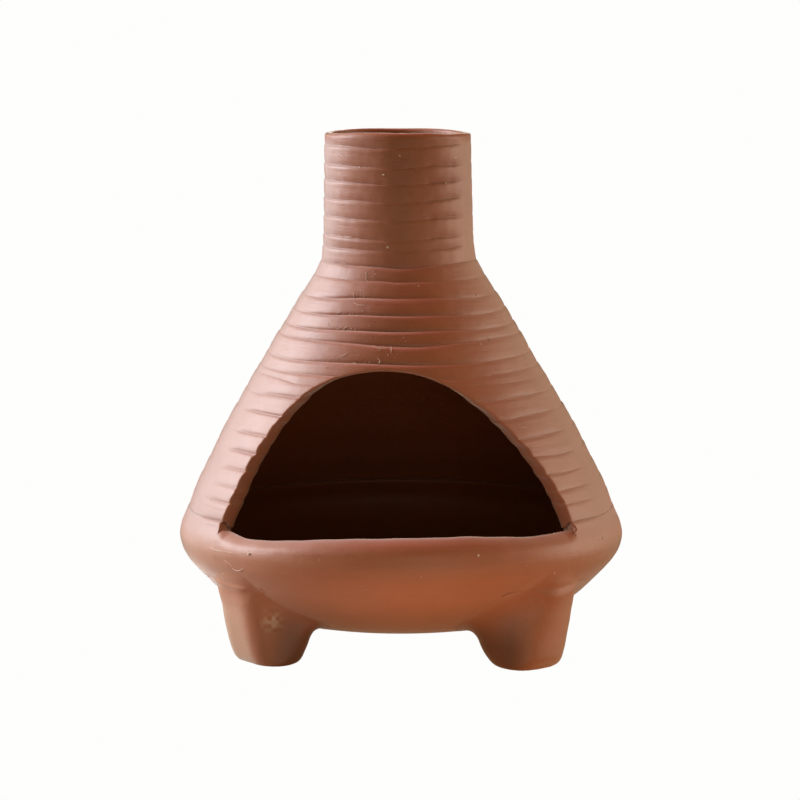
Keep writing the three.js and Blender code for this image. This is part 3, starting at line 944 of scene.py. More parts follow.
def mouth_outline():
    """Closed outline of the opening, phi scaled to mm."""
    c = np.vstack([[MOUTH_LEFT, 92.0], [MOUTH_LEFT, 100.0], [MOUTH_LEFT + 0.1, 106.0],
                   curve_through(MOUTH, 8),
                   [MOUTH_RIGHT - 0.1, 106.0], [MOUTH_RIGHT, 100.0], [MOUTH_RIGHT, 92.0]])
    # the wet edge gave a little with each throwing line
    wave = (0.24 * np.sin(c[:, 1] / 13.6 * 2 * math.pi + 0.6)
            + 0.13 * np.sin(c[:, 1] / 7.9 * 2 * math.pi + 2.2))
    mm = outside_r(c[:, 1]) * RAD       # true millimetres per degree
    sides = smooth(112, 120, c[:, 1]) * smooth(22, 34, np.abs(c[:, 0]))
    c[:, 0] += wave * sides * np.sign(c[:, 0]) * 2.6 / mm
    # move out by the edge's rounding, in true millimetres
    along = np.gradient(c, axis=0)
    along = unit(np.stack([along[:, 0] * mm, along[:, 1]], 1))
    outwards = np.stack([-along[:, 1], along[:, 0]], 1) * ROUND_OUTER
    c = np.stack([c[:, 0] + outwards[:, 0] / mm, c[:, 1] + outwards[:, 1]], 1)
    return np.stack([c[:, 0] * MM_PER_DEGREE, c[:, 1]], 1)


def ring_rows(first, last, phi, middles=1):
    """z of every mesh row between two throwing lines, for each column.

    Rows crowd towards the lines: fourteenths of each gap, above one and below the next."""
    above = (0.0, 0.45, 1.15, 2.4, 4.4)
    below = (4.1, 2.0, 0.85, 0.30)
    fractions = [u / 14 for u in above] + [1 - d / 14 for d in below]
    low, high = above[-1] / 14, 1 - below[0] / 14
    fractions += [low + (high - low) * (i + 1) / (middles + 1) for i in range(middles)]
    rows = []
    for k in range(first, last):
        a, b = GROOVES[k].z(phi), GROOVES[k + 1].z(phi)
        for t in sorted(fractions):
            rows.append(a + (b - a) * t)
    rows.append(GROOVES[last].z(phi))
    return np.array(rows)


def cone_inside(phi, z):
    z = z - 4.6 * smooth(118, 108.8, z) + np.maximum(304.9 - z, 0) * smooth(291, 299.2, z)
    return xyz(phi, cone_inside_r(z) + 0.5 * lump(phi + 40, z), z)


def cone_edges(phi, z, outer, inner, following, previous, on_cut, foot, crown):
    """Points from outer to inner skin at every boundary vertex of the shoulder, (N, 9, 3)."""
    slope = np.arctan(-(outside_r(z + 3) - outside_r(z - 3)) / 6)
    chain = jamb_chain(outer, inner, following, previous, slope, on_cut)
    r = np.hypot(outer[:, 0] - lean(z), outer[:, 1])

    def spread(base, steps, fixed):
        return np.hstack([base[:, None] + np.array(steps), np.tile(fixed, (len(base), 1))])

    foot_z = z[:, None] + FOOT_RISE
    foot_points = xyz(phi[:, None], spread(r, FOOT_STEPS, FOOT_RADII), foot_z)
    plain = foot & ~on_cut
    chain[plain] = foot_points[plain]
    corner = foot & on_cut
    chain[corner, :, 2] = foot_z[corner]
    crown_points = xyz(phi[:, None], spread(r, CROWN_STEPS, CROWN_RADII),
                       spread(z, CROWN_RISE, CROWN_HEIGHTS))
    chain[crown] = crown_points[crown]
    return chain


def cone_bits():
    rng = np.random.default_rng(90)
    bits = []
    for phi0, z0, phi_spread, z_spread, count in CONE_CLUSTERS:
        kept_in = abs(phi0) < 40 and z0 > 224      # front clusters stay on the wall
        for _ in range(count):
            phi = phi0 + phi_spread * rng.standard_normal()
            z = z0 + z_spread * rng.standard_normal()
            z = float(np.clip(z, 226, 298)) if kept_in else z
            size = rng.uniform(0.16, 0.42)
            bits.append(grain(rng, shoulder_wall, phi, z, size, rng.uniform(0.2, 0.8)))
    bits += burrs(rng, shoulder_wall, CONE_BURRS, 1.25, 0.45)
    return bits + pale_grains(rng, shoulder_wall, CONE_GRAINS)


def build_cone():
    columns = 308
    phi = even_angles(columns)
    z = ring_rows(0, NECK_GROOVE, phi)
    rows = len(z)
    phi = np.broadcast_to(phi, z.shape)
    phi, z, side = snap_to_outline(phi, z, mouth_outline())
    quads, tris, edges = open_faces(side)
    phi, z = phi.ravel(), z.ravel()
    radius, groove_depth = shoulder_wall(phi, z)
    outer = xyz(phi, radius, z)
    inner = cone_inside(phi, z)

    # walk round the boundary
    n = len(phi)
    start, end = edges[:, 0], edges[:, 1]
    rim = np.unique(edges)
    place = np.full(n, -1)
    place[rim] = np.arange(len(rim))
    following = np.zeros(len(rim), int)
    previous = np.zeros(len(rim), int)
    following[place[start]] = place[end]
    previous[place[end]] = place[start]
    foot = rim // columns == 0
    crown = rim // columns == rows - 1
    chain = cone_edges(phi[rim], z[rim], outer[rim], inner[rim], following, previous,
                       side.ravel()[rim] == 0, foot, crown)
    levels = chain.shape[1]

    def at_level(k, vertex):
        if k == 0:
            return vertex
        if k == levels + 1:
            return vertex + n
        return 2 * n + place[vertex] * levels + (k - 1)

    all_quads = [quads, quads[:, ::-1] + n]
    for k in range(levels + 1):
        all_quads.append(facets(at_level(k, end), at_level(k, start),
                                at_level(k + 1, start), at_level(k + 1, end)))
    faces = [np.concatenate(all_quads), np.concatenate([tris, tris[:, ::-1] + n])]
    verts = np.concatenate([outer, inner, chain.reshape(-1, 3)])
    cav = np.zeros(len(verts))
    # painted shade deep in the throwing lines
    cav[:n] = groove_depth
    # painted shade: the inside is darkened in full, and the cut face of the mouth a little, more
    # towards the inside
    soot = np.zeros(len(verts))
    soot[n : 2 * n] = 1.0
    cut_face_shade = np.tile(np.linspace(0.0, 0.62, levels), (len(rim), 1))
    cut_face_shade[foot | crown] = 0.3
    soot[2 * n :] = cut_face_shade.ravel()
    make_piece("firebox_cone", *with_bits(verts, faces, cav, soot, cone_bits()),
               "terracotta_body", BODY_CLAY)


# ------------------------------------------------------------------ firebox_bowl
# z of the sill's crown by phi
sill_z = monotone(
    [-60, -55, -50, -45, -37.5, -30, -15, 0, 15, 30, 40, 50, 60],
    [103.2, 102.3, 100.2, 99.0, 100.2, 102.2, 105.4, 107.0, 107.2, 104.6, 102.8, 103.0, 105.6])
BOWL_GRAINS = (
    (-41.5, 90.0, 0.55), (-54.1, 69.0, 0.42), (19.6, 94.5, 0.42), (63.6, 93.3, 0.55),
    (61.5, 93.0, 0.35), (56.1, 91.2, 0.26), (42.8, 74.6, 0.36), (-20.5, 91, 0.2),
    (5, 80, 0.18), (33, 84, 0.18), (-10, 72, 0.2), (110, 90, 0.35), (150, 76, 0.3),
    (-150, 88, 0.35), (-100, 95, 0.3), (178, 84, 0.25), (130, 70, 0.25), (-125, 72, 0.25))
BOWL_BURRS = (
    ([(-57.5, 88.6), (-54, 88.0), (-50.5, 88.4)], 0.30),
    ([(-50.5, 89.0), (-48.6, 88.6), (-47.2, 88.8)], 0.22),
    ([(-50.8, 81.5), (-49.0, 79.4), (-47.8, 77.4)], 0.30),
    ([(-48.4, 76.0), (-47.0, 74.9), (-45.4, 75.6), (-44.0, 77.6)], 0.32),
    ([(47.0, 86.4), (49.0, 86.2), (51.0, 86.3)], 0.18))


def end_distance(phi):
    """mm along the wall from the nearer jamb, positive inside the mouth."""
    return np.minimum((phi - MOUTH_LEFT), (MOUTH_RIGHT - phi)) * 168 * RAD


def sill_crown(phi):
    """The sill turns up a little at both jambs."""
    return sill_z(phi) + 0.9 * np.clip(1 - end_distance(phi) / 4.0, 0, 1.0) ** 2.0


def build_bowl():
    # even columns, with finer ones where the rim drops at each jamb
    even = even_angles(340)
    keep = (np.abs(even - MOUTH_LEFT - 0.6) > 2.6) & (np.abs(even - MOUTH_RIGHT + 0.6) > 2.6)
    phi = np.sort(np.concatenate([
        even[keep],
        np.arange(MOUTH_LEFT - 1.8, MOUTH_LEFT + 3, 0.3),
        np.arange(MOUTH_RIGHT - 3, MOUTH_RIGHT + 1.8, 0.3)]))
    in_mouth = smooth(-0.55, 0.85, end_distance(phi))
    rim = (GROOVES[0].z(phi) - 0.1) * (1 - in_mouth) + (sill_crown(phi) - 8.6) * in_mouth
    bowl = Turning(phi)

    for r in (6, 20, 40, 60, 72, 82, 90, 98, 106, 113, 120, 127, 133, 139, 144.5, 149.5,
              154.5, 158.5):
        bowl.ring(r, bowl_underside(phi, r))
    steps = np.concatenate([np.linspace(0, 0.72, 20),
                            [0.78, 0.83, 0.875, 0.91, 0.94, 0.963, 0.98, 0.992, 1.0]])
    for t in steps:
        z = BELLY_Z + (rim - BELLY_Z) * t
        r, cav = bowl_wall(phi, z)
        bowl.ring(r, z, cav)
    # the rim: a stepped seam under the shoulder, a low rounded edge across the mouth
    skin, _ = bowl_wall(phi, rim)
    seam = [(skin - 0.5, -0.1), (skin - 2.4, -0.1), (160.5, -0.1),
            (160.4, -2.6), (160.4, -5.1), (158.6, -5.2)]
    mouth = [(skin - 0.6, 0.4), (skin - 2.4, 0.6), (skin - 4.6, 0.6),
             (skin - 7.0, 0.5), (skin - 9.0, 0.2), (skin - 10.2, -0.4)]
    # the rim's rows carry a little painted inner shade
    for (seam_r, seam_rise), (mouth_r, mouth_rise) in zip(seam, mouth):
        bowl.ring(seam_r * (1 - in_mouth) + mouth_r * in_mouth,
                  (rim + seam_rise) * (1 - in_mouth) + (rim + mouth_rise) * in_mouth, 0, 0.15)
    inside_r = monotone([z for _, z in INSIDE_WALL], [r for r, _ in INSIDE_WALL])
    top, bottom = rim - 5.4, INSIDE_WALL[0][1]
    # the inside wall and the basin carry full painted inner shade
    for t in np.linspace(0, 1, 9)[:-1]:
        z = top + (bottom - top) * t
        bowl.ring(inside_r(z) + 0.3 * bowl_lump(phi + 30, z), z, 0, 1.0)
    for r, z in INSIDE_BASIN[::-1]:
        bowl.ring(r, z, 0, 1.0)
    poles = ((AXIS_X, 0, UNDERSIDE[0][1]), (AXIS_X, 0, INSIDE_BASIN[0][1]))
    verts, faces = lathe(bowl.rows, poles)
    cav = np.concatenate(bowl.cav + [[0, 0]])
    soot = np.concatenate(bowl.soot + [[0, 1]])
    rng = np.random.default_rng(91)
    bits = pale_grains(rng, bowl_wall, BOWL_GRAINS)
    bits += burrs(rng, bowl_wall, BOWL_BURRS, 0.95, 0.5)
    make_piece("firebox_bowl", *with_bits(verts, faces, cav, soot, bits),
               "terracotta_body", BOWL_CLAY)


# ------------------------------------------------------------------ sill_coil
# the roll's section: (mm out from the skin, mm above the crown), up the outside, over
# the top and down the inside
COIL_OUTSIDE = [(-0.9, -23.0), (-0.40, -20.5), (-0.12, -18.0), (0.02, -15.0)]
COIL_INSIDE = [(-11.8, -5.4), (-11.7, -8.2), (-11.2, -10.8), (-8.5, -11.8), (-4.5, -14.0),
               (-2.4, -18.5)]
ROLL_TOP = [(0.08, -12.5), (0.08, -10.4), (-0.04, -8.4), (-0.44, -6.5), (-1.2, -4.7),
            (-2.5, -3.0), (-4.2, -1.5), (-6.2, -0.45), (-8.3, -0.1), (-10.1, -1.1), (-11.3, -3.0)]
# at the jambs the roll is wiped flush with the wall, so its shoulder is nearly square
FLUSH_TOP = [(0.06, -11.5), (0.06, -8.8), (0.05, -6.4), (-0.05, -4.4), (-0.45, -2.6),
             (-1.3, -1.3), (-2.6, -0.3), (-5.0, 0.0), (-7.6, -0.05), (-9.8, -0.7), (-11.3, -2.6)]


def coil_section(top):
    points = COIL_OUTSIDE + top + COIL_INSIDE
    return curve_through(np.array(points + points[:1]), 3)[:-1]


def build_coil():
    roll, flush = coil_section(ROLL_TOP), coil_section(FLUSH_TOP)
    phi = np.concatenate([
        np.arange(MOUTH_LEFT - 1.6, MOUTH_LEFT + 4, 0.22),
        np.arange(MOUTH_LEFT + 4, MOUTH_RIGHT - 4, 0.6),
        np.arange(MOUTH_RIGHT - 4, MOUTH_RIGHT + 1.61, 0.22)])
    sunk = smooth(-2.2, -4.2, end_distance(phi))     # the ends sink into the wall
    squareness = smooth(10.0, 0.5, end_distance(phi))
    wobble = ripple(31, 7, 22, 0.5)
    crown_wobble = ripple(32, 9, 40, 0.3)
    crowns = sill_crown(phi) + 0.18 * crown_wobble(phi) - 0.1
    rows = []
    for p, crown, square, sink in zip(phi, crowns, squareness, sunk):
        section = roll * (1 - square) + flush * square
        out, up = section[:, 0], section[:, 1]
        z = crown + up * (1 + 0.05 * wobble(p) * (1 - square))
        skirt = np.clip((up + 12.0) / 8, 0, 1) * (1 - square)
        hug = smooth(-6.0, -1.5, out)       # the outside follows the wall's unevenness
        r = ((outside_r(z) + 0.1) * (1 - hug) + bowl_wall(p, z)[0] * hug + out
             + 0.22 * float(wobble(p)) * skirt * hug)
        core_z = crown - 7.5
        core_r = outside_r(core_z) - 6.0
        z = z + (core_z - z) * 0.42 * sink
        r = r + (core_r - r) * 0.42 * sink
        rows.append(xyz(p, r, z))
    rows = np.stack(rows)                         # along, round the section
    count, around = rows.shape[:2]
    verts = np.concatenate([rows.reshape(-1, 3), [rows[0].mean(0)], [rows[-1].mean(0)]])
    quads = grid_faces(count, around)[:, [0, 3, 2, 1]]
    i = np.arange(around)
    i2 = (i + 1) % around
    tip, last = count * around, (count - 1) * around
    tris = np.concatenate([facets(tip, i, i2), facets(tip + 1, last + i2, last + i)])
    soot = np.zeros(len(verts))
    # painted inner shade on the roll's inner side, facing the hollow
    soot[:tip] = np.tile(np.clip((-flush[:, 0] - 5.5) / 6.0, 0, 1) * 0.75, count)
    # a curl of clay dragged up where the roll was wiped into the right jamb
    rng = np.random.default_rng(94)
    long_curl = [(51.4, 109.2), (52.3, 107.0), (52.7, 104.6), (52.0, 102.4), (51.1, 101.4)]
    short_curl = [(52.0, 106.5), (51.6, 104.2), (51.0, 102.8)]
    bits = [burr(rng, bowl_wall, long_curl, 0.95, 0.0),
            burr(rng, bowl_wall, short_curl, 0.6, 0.1)]
    make_piece("sill_coil", *with_bits(verts, [quads, tris], np.zeros(len(verts)), soot, bits),
               "terracotta_coil", COIL_CLAY)


# ------------------------------------------------------------------ chimney_stack
# rise of the lip in mm by phi
lip_rise = monotone(
    [-180, -120, -95, -64, -49, -32, -4, 22, 46, 64, 95, 120, 180],
    [0.6, 0.6, 0.6, 1.5, 2.5, 3.3, 3.8, 3.7, 2.0, 1.7, 0.6, 0.6, 0.6])
LIP_Z = 399.1
LIP_START = 0.76        # share of the last band at which the lip starts to round
FLUE_BORE = 49.9        # inside radius
STACK_GRAINS = (
    (-50.3, 386.3, 0.34), (-53, 384.0, 0.3), (-46.5, 384.3, 0.22), (-10.7, 371.3, 0.42),
    (40.2, 363.8, 0.42), (-31.4, 376.3, 0.3), (20, 341, 0.18), (-40, 318, 0.2), (120, 350, 0.3),
    (-130, 330, 0.3), (170, 375, 0.25), (-95, 360, 0.25), (85, 325, 0.25))
STACK_BURRS = (
    ([(-37, 376.0), (-33, 375.6), (-30, 375.9)], 0.24),
    ([(-46, 322.8), (-42, 322.2), (-38, 322.5)], 0.24),
    ([(-48, 302.4), (-45, 301.6), (-43.5, 301.9)], 0.2))


def build_stack():
    phi = even_angles(320)
    wall_z = ring_rows(NECK_GROOVE, len(GROOVES) - 1, phi, middles=2)
    wobble = ripple(41, 6, 6, 0.8)
    top = LIP_Z + 0.30 * wobble(phi) + lip_rise(phi)
    last = wall_z[-1]
    band = [last + (top - last) * t for t in (0.10, 0.24, 0.42, 0.60, LIP_START)]
    stack = Turning(phi)
    for z in [*wall_z, *band]:
        r, cav = shoulder_wall(phi, z)
        stack.ring(r, z, cav)
    # over the rounded lip
    middle = (outside_r(398.0) + 49.7) / 2 + 0.25 * wobble(phi + 60)
    half = 3.35 + 0.2 * lump_mid(phi, 400)
    for a in np.linspace(12, 168, 12) * RAD:
        stack.ring(middle + half * np.cos(a), band[-1] + (top - band[-1]) * np.sin(a) ** 0.8)
    # down the bore, with painted shade that deepens with depth
    for z in (396.8, 392, 385, 376, 366, 355, 343, 330, 318, 307):
        line = 0.22 * np.sin((z + 3 * np.sin(phi * RAD)) / 6.9)
        r = FLUE_BORE + 0.15 * line + 0.25 * lump(phi + 90, z)
        stack.ring(r, z, 0, smooth(393, 338, z))
    # the bottom edge, out to the skin, with some painted inner shade
    for r, z in ((50.4, 305.9), (52.5, 305.7), (55.0, 305.75), (55.95, 305.6), (56.0, 303.6),
                 (56.3, wall_z[0] + 0.5), (57.6, wall_z[0] + 0.2)):
        stack.ring(r, z, 0, 0.6)
    verts, faces = lathe(stack.rows)
    rng = np.random.default_rng(92)
    bits = pale_grains(rng, shoulder_wall, STACK_GRAINS)
    bits += burrs(rng, shoulder_wall, STACK_BURRS, 1.0, 0.4)
    cav, soot = np.concatenate(stack.cav), np.concatenate(stack.soot)
    make_piece("chimney_stack", *with_bits(verts, faces, cav, soot, bits),
               "terracotta_stack", STACK_CLAY)


# ------------------------------------------------------------------ feet
# Profiles are (z, mm from the foot's centre): side faces away from x = 0, inner towards
# it, front faces -Y and back +Y. blend is the width of the fillet into the belly.
PLAIN = [(0, 20.5), (1.2, 24), (6, 27.5), (20, 30.8), (34, 34), (50, 36), (62, 32), (80, 10)]
INNER = [(0, 20), (1.2, 23), (5, 26.5), (12, 30), (20, 33.5), (30, 39), (40, 43), (52, 42),
         (62, 34), (80, 10)]
REAR = dict(blend=8.0, flat=False, front=INNER, back=PLAIN, side=PLAIN, inner=INNER)
FEET = {
    "foot_front_left": dict(
        centre=(-98.5, -95.0), seed=51, blend=5.0, flat=True,
        back=[(0, 23), (1.2, 26.5), (6, 30), (20, 34), (34, 37), (50, 39), (62, 34), (80, 10)],
        front=[(0, 19.5), (1.2, 20.6), (6, 21.0), (20, 20.5), (40, 20.0), (55, 20), (66, 18),
               (80, 10)],
        side=[(0, 30.4), (1, 32.9), (5, 36.1), (9.6, 38.0), (14, 39.5), (23.5, 41.7),
              (32.8, 43.3), (42, 44.4), (51, 45.7), (60, 41.4), (70, 27), (82, 10)],
        inner=[(0, 18), (1, 20.6), (5, 24.2), (9.6, 26.5), (14, 28.5), (18.8, 30.2),
               (23.5, 32.6), (30, 37), (38, 41), (50, 41), (62, 33), (80, 10)]),
    "foot_front_right": dict(
        centre=(96.0, -98.0), seed=52, blend=6.0, flat=False, back=PLAIN,
        front=[(0, 32), (1.2, 34.2), (4, 35.4), (10, 34.6), (24, 31), (40, 27), (55, 24),
               (66, 20), (80, 10)],
        side=[(0, 21.5), (1, 24.8), (5, 27.6), (9.6, 29.0), (14, 30.2), (23.5, 32.0),
              (32.8, 33.9), (42, 35.4), (51, 37.0), (60, 35), (70, 26), (82, 10)],
        inner=[(0, 22), (1, 25.1), (5, 29.2), (9.6, 32.2), (14, 34.3), (18.8, 36.2),
               (23.5, 38.8), (30, 42), (38, 45), (50, 44), (62, 34), (80, 10)]),
    "foot_rear_left": dict(centre=(-100.0, 90.0), seed=53, **REAR),
    "foot_rear_right": dict(centre=(100.0, 90.0), seed=54, **REAR),
}
# how the flat foot's wiped outer flank swells with z
flank = monotone([0, 1, 5, 9.6, 14, 23.5, 32.8, 42, 51, 60],
                 [25.2, 27.8, 30.4, 31.9, 33.0, 35.1, 36.8, 38, 39.3, 39.3])
FOOT_COLUMNS, FOOT_ROWS = 132, 74


def bowl_distance(p):
    """Approximate distance to the bowl's outer skin (mm), positive outside."""
    x = p[:, 0] - lean(40.0)
    r = np.hypot(x, p[:, 1])
    z = p[:, 2]
    phi = np.degrees(np.arctan2(x, -p[:, 1]))
    # the underside is read by height and the side by radius, blended at the turn
    slope = (underside_z(r + 1) - underside_z(r - 1)) / 2
    below = (bowl_underside(phi, r) - z) / np.sqrt(1 + slope**2)
    slope = (outside_r(np.minimum(z + 1, 110)) - outside_r(np.minimum(z - 1, 110))) / 2
    skin = outside_r(np.minimum(z, 110)) + 0.1 + bowl_unevenness(phi, z)
    beside = (r - skin) / np.sqrt(1 + slope**2)
    w = smooth(58, 66, z)
    blended = below * (1 - w) + beside * w
    return np.where(r > BELLY_R, np.maximum(blended, (r - BELLY_R) * (1 - w) + beside * w),
                    blended)


def march(start, directions, distance):
    """How far along each direction the surface distance(points) = 0 lies."""
    low = np.zeros(len(directions))
    high = np.full(len(directions), 8.0)
    value = distance(start + directions * high[:, None])
    for _ in range(70):
        within = value < 0
        if not within.any():
            break
        low = np.where(within, high, low)
        high = np.where(within, high + 2.5, high)
        value = np.where(within, distance(start + directions * high[:, None]), value)
    for _ in range(26):
        middle = (low + high) / 2
        within = distance(start + directions * middle[:, None]) < 0
        low = np.where(within, middle, low)
        high = np.where(within, high, middle)
    return (low + high) / 2


def foot_surfaces(centre, seed, blend, flat, front, back, side, inner):
    """Distance function of one foot blended into the bowl."""
    cx, cy = centre
    reach = math.hypot(cx, cy)
    wobble = ripple(seed, 5, 4, 0.8, z_wave=60.0)
    side, inner, front, back = [monotone(*zip(*t)) for t in (side, inner, front, back)]

    def foot(p):
        dx, dy, z = p[:, 0] - cx, p[:, 1] - cy, p[:, 2]
        rho = np.hypot(dx, dy)
        away = dx / np.maximum(rho, 1e-6) * math.copysign(1, cx)    # +1 away from the middle
        fore = -dy / np.maximum(rho, 1e-6)                          # +1 towards the front
        psi = np.degrees(np.arctan2(dx, -dy))
        r = (np.where(away > 0, side(z), inner(z)) * away**2
             + np.where(fore > 0, front(z), back(z)) * fore**2)
        r = r + 0.5 * wobble(psi, z) * smooth(0, 8, z)
        d = (rho - r) * 0.94
        # held within a circle round the pot's axis
        limit = 30.6 + 0.3 * wobble(psi + 90, z) - 5.0 * smooth(9, 0, z)
        d = smooth_max(d, np.hypot(p[:, 0], p[:, 1]) - reach - limit, 6.0)
        if flat:   # pressed a little flat on the side that faces forward
            d = smooth_max(d, -dy - (20.8 - 0.07 * z) + 0.0012 * dx * dx, 5.0)
            # and wiped down the outer flank, which meets the front in a soft arris
            wiped = -0.83 * dx - 0.558 * dy - 24.3 - 0.83 * (flank(z) - 36.8)
            d = smooth_max(d, wiped, 9.0)
        return np.maximum(d, -z)

    def joined(p):
        dx, dy = p[:, 0] - cx, p[:, 1] - cy
        rho = np.maximum(np.hypot(dx, dy), 1.0)
        inwards = dx * (-cx / reach) + dy * (-cy / reach)
        width = blend * (0.75 + 0.5 * smooth(-30, 20, inwards))
        # wiped into the belly on the outer flank
        width = width + 9.0 * smooth(-0.1, 0.8, dx * math.copysign(1, cx) / rho)
        if not flat:
            width = width + 8.0 * smooth(0.1, 0.9, -dy / rho)
        return smooth_min(foot(p), bowl_distance(p), width)

    return joined


def fan_limit(start, directions, psi, joined):
    """How far the fan must open in each direction to take in the whole fillet."""
    theta = np.linspace(0.4, 2.45, 90)
    grid, psis = np.meshgrid(theta, psi, indexing="ij")
    rays = directions(grid.ravel(), psis.ravel())
    gap = (march(start, rays, joined) - march(start, rays, bowl_distance)).reshape(grid.shape)
    limit = np.zeros(len(psi))
    for i in range(len(psi)):
        far = np.where(gap[:, i] > 0.05)[0]
        limit[i] = theta[min(far[-1] + 1, len(theta) - 1)] if len(far) else 1.2
    for _ in range(8):
        limit = (np.roll(limit, 1) + 2 * limit + np.roll(limit, -1)) / 4
    return limit + 0.035


def build_foot(name, centre, flat, **shape):
    """Mesh one foot as a fan of rays from a point inside its top, opening from straight down."""
    cx, cy = centre
    reach = math.hypot(cx, cy)
    start = np.array([cx * 0.985, cy * 0.985, 48.5])
    outward = np.array([cx / reach, cy / reach, 0.0])
    across = np.array([-cy / reach, cx / reach, 0.0])
    joined = foot_surfaces(centre, flat=flat, **shape)

    def directions(theta, psi):
        s = np.sin(theta)
        return ((s * np.cos(psi))[:, None] * outward + (s * np.sin(psi))[:, None] * across
                - np.cos(theta)[:, None] * np.array([0, 0, 1.0]))

    psi = np.arange(FOOT_COLUMNS) * 2 * math.pi / FOOT_COLUMNS
    limit = fan_limit(start, directions, psi, joined)
    # even spacing along each meridian: sample finely, then resample on arc length
    samples = np.linspace(0.0, 1.0, 160)
    rays = directions((samples[:, None] * limit[None, :]).ravel(), np.tile(psi, len(samples)))
    fine = start + rays * march(start, rays, joined)[:, None]
    fine = fine.reshape(len(samples), FOOT_COLUMNS, 3)
    meridians = []
    for i in range(FOOT_COLUMNS):
        steps = np.linalg.norm(np.diff(fine[:, i], axis=0), axis=1)
        length = np.concatenate([[0], np.cumsum(steps)])
        want = np.linspace(0, 1, FOOT_ROWS + 1)[1:] * length[-1]
        meridians.append(np.stack([np.interp(want, length, fine[:, i, q]) for q in range(3)], 1))
    grid = np.stack(meridians, 1)
    # sink the feather edge just under the bowl's skin
    ray = grid - start
    length = np.linalg.norm(ray, axis=2, keepdims=True)
    edge = smooth(FOOT_ROWS - 6, FOOT_ROWS - 1, np.arange(FOOT_ROWS))[:, None, None]
    grid = start + ray / length * (length - 0.30 * edge)
    if flat:   # finger smear across the front
        up = (grid[..., 2] - 35.0) / 8.5
        over = (grid[..., 0] + 98.0) / 8.5
        front = smooth(-104, -111, grid[..., 1])
        grid[..., 1] += 1.3 * front * np.exp(-(over**2 + up**2))
    # capped back to the start, inside the bowl
    cap = [start + (grid[-1] - start) * t for t in (0.90, 0.6, 0.25)]
    verts, faces = lathe([*grid, *cap], ((start[0], start[1], 0.0), start))
    verts[:, 2] = np.maximum(verts[:, 2], 0.0)
    x, y, z = verts.T
    pale = np.zeros(len(verts))
    if flat:
        smear = np.exp(-(((x + 97.5) / 6.2) ** 2) - ((z - 35.0) / 7.5) ** 2)
        pale = 0.62 * smear * smooth(-0.35, 0.45, value_noise(verts, 3.1, 8)) * (y < -104)
    # painted shade: darker towards the ground and on the inner side
    ground = 2.6 * smooth(36, 4, z) * (0.75 + 0.25 * value_noise(verts, 14.0, 9))
    inner_side = 2.0 * smooth(104, 80, np.abs(x)) * smooth(62, 20, z)
    attributes = dict(cav=np.minimum(3.2, ground + inner_side), soot=np.zeros(len(verts)),
                      grog=pale)
    make_piece(name, verts, faces, attributes, "terracotta_feet", FEET_CLAY)


# ------------------------------------------------------------------ insulating_bed
BED_RADIUS = 138.6
PEBBLE_CELL = 5.2
# (radius, z) of the bed's underside, lying in the basin
BED_UNDER = [(6, 32.9), (40, 32.9), (72, 33.0), (98, 35.2), (112, 39.5), (118.2, 42.3),
             (128, 48.2), (136.2, 54.9), (138.9, 57.2)]


def pebble_height(x, y):
    """Height of rounded pebbles in jittered cells."""
    height = np.zeros(len(x))
    for dx in (-1, 0, 1):
        for dy in (-1, 0, 1):
            ix = np.floor(x / PEBBLE_CELL).astype(np.int64) + dx
            iy = np.floor(y / PEBBLE_CELL).astype(np.int64) + dy
            # four draws per cell: offsets in x and y, size, rise
            jx, jy, size, rise = [hash3(ix, iy, 0 * ix, seed) for seed in (3, 4, 5, 6)]
            cx = (ix + 0.5 + 0.42 * (2 * jx - 1)) * PEBBLE_CELL
            cy = (iy + 0.5 + 0.42 * (2 * jy - 1)) * PEBBLE_CELL
            radius = PEBBLE_CELL * (0.42 + 0.34 * size)
            d = np.hypot(x - cx, y - cy) / radius
            top = np.sqrt(np.clip(1 - np.minimum(d, 1) ** 2, 0, 1)) * radius * 0.8
            top = top + 1.2 * (rise - 0.5) * (d < 1)
            height = np.maximum(height, np.where(d < 1, top, 0))
    return height


def build_bed():
    columns, rings_across = 300, 84
    phi = even_angles(columns)
    top = xyz(phi, np.linspace(3.0, BED_RADIUS, rings_across)[:, None], 59)
    points = top.reshape(-1, 3)
    dune = 1.0 * value_noise(points, 38.0, 5) + 0.35 * value_noise(points, 9.0, 6)
    r = np.hypot(points[:, 0] - AXIS_X, points[:, 1])
    pebbles = pebble_height(points[:, 0], points[:, 1])
    z = 61.0 - 2.6 * (r / 138) ** 2 + dune * 0.9 + pebbles * 0.85 - 2.6
    level = smooth(139, 132, r)         # flattened at the edge
    top[..., 2] = np.clip(z * level + 57.4 * (1 - level), 54.0, 61.9).reshape(top.shape[:2])
    rows = [xyz(phi, r, z) for r, z in BED_UNDER] + list(top[::-1])
    poles = ((AXIS_X, 0, BED_UNDER[0][1]), (AXIS_X, 0, float(top[0, :, 2].mean())))
    verts, faces = lathe(rows, poles)
    zero = np.zeros(len(verts))
    make_piece("insulating_bed", verts, faces, dict(cav=zero, soot=zero), "lava_grit",
               LAVA_GRIT, suffix="_grit")


build_cone()
build_bowl()
build_coil()
build_stack()
for foot_name, foot_shape in FEET.items():
    build_foot(foot_name, **foot_shape)
build_bed()

# ------------------------------------------------------------------ set, lights, camera (m)
scene = bpy.context.scene
BACKDROP = (0.990, 0.990, 0.976, 1)
FLOOR_HALF, FLOOR_Z = 9.0, -0.0004


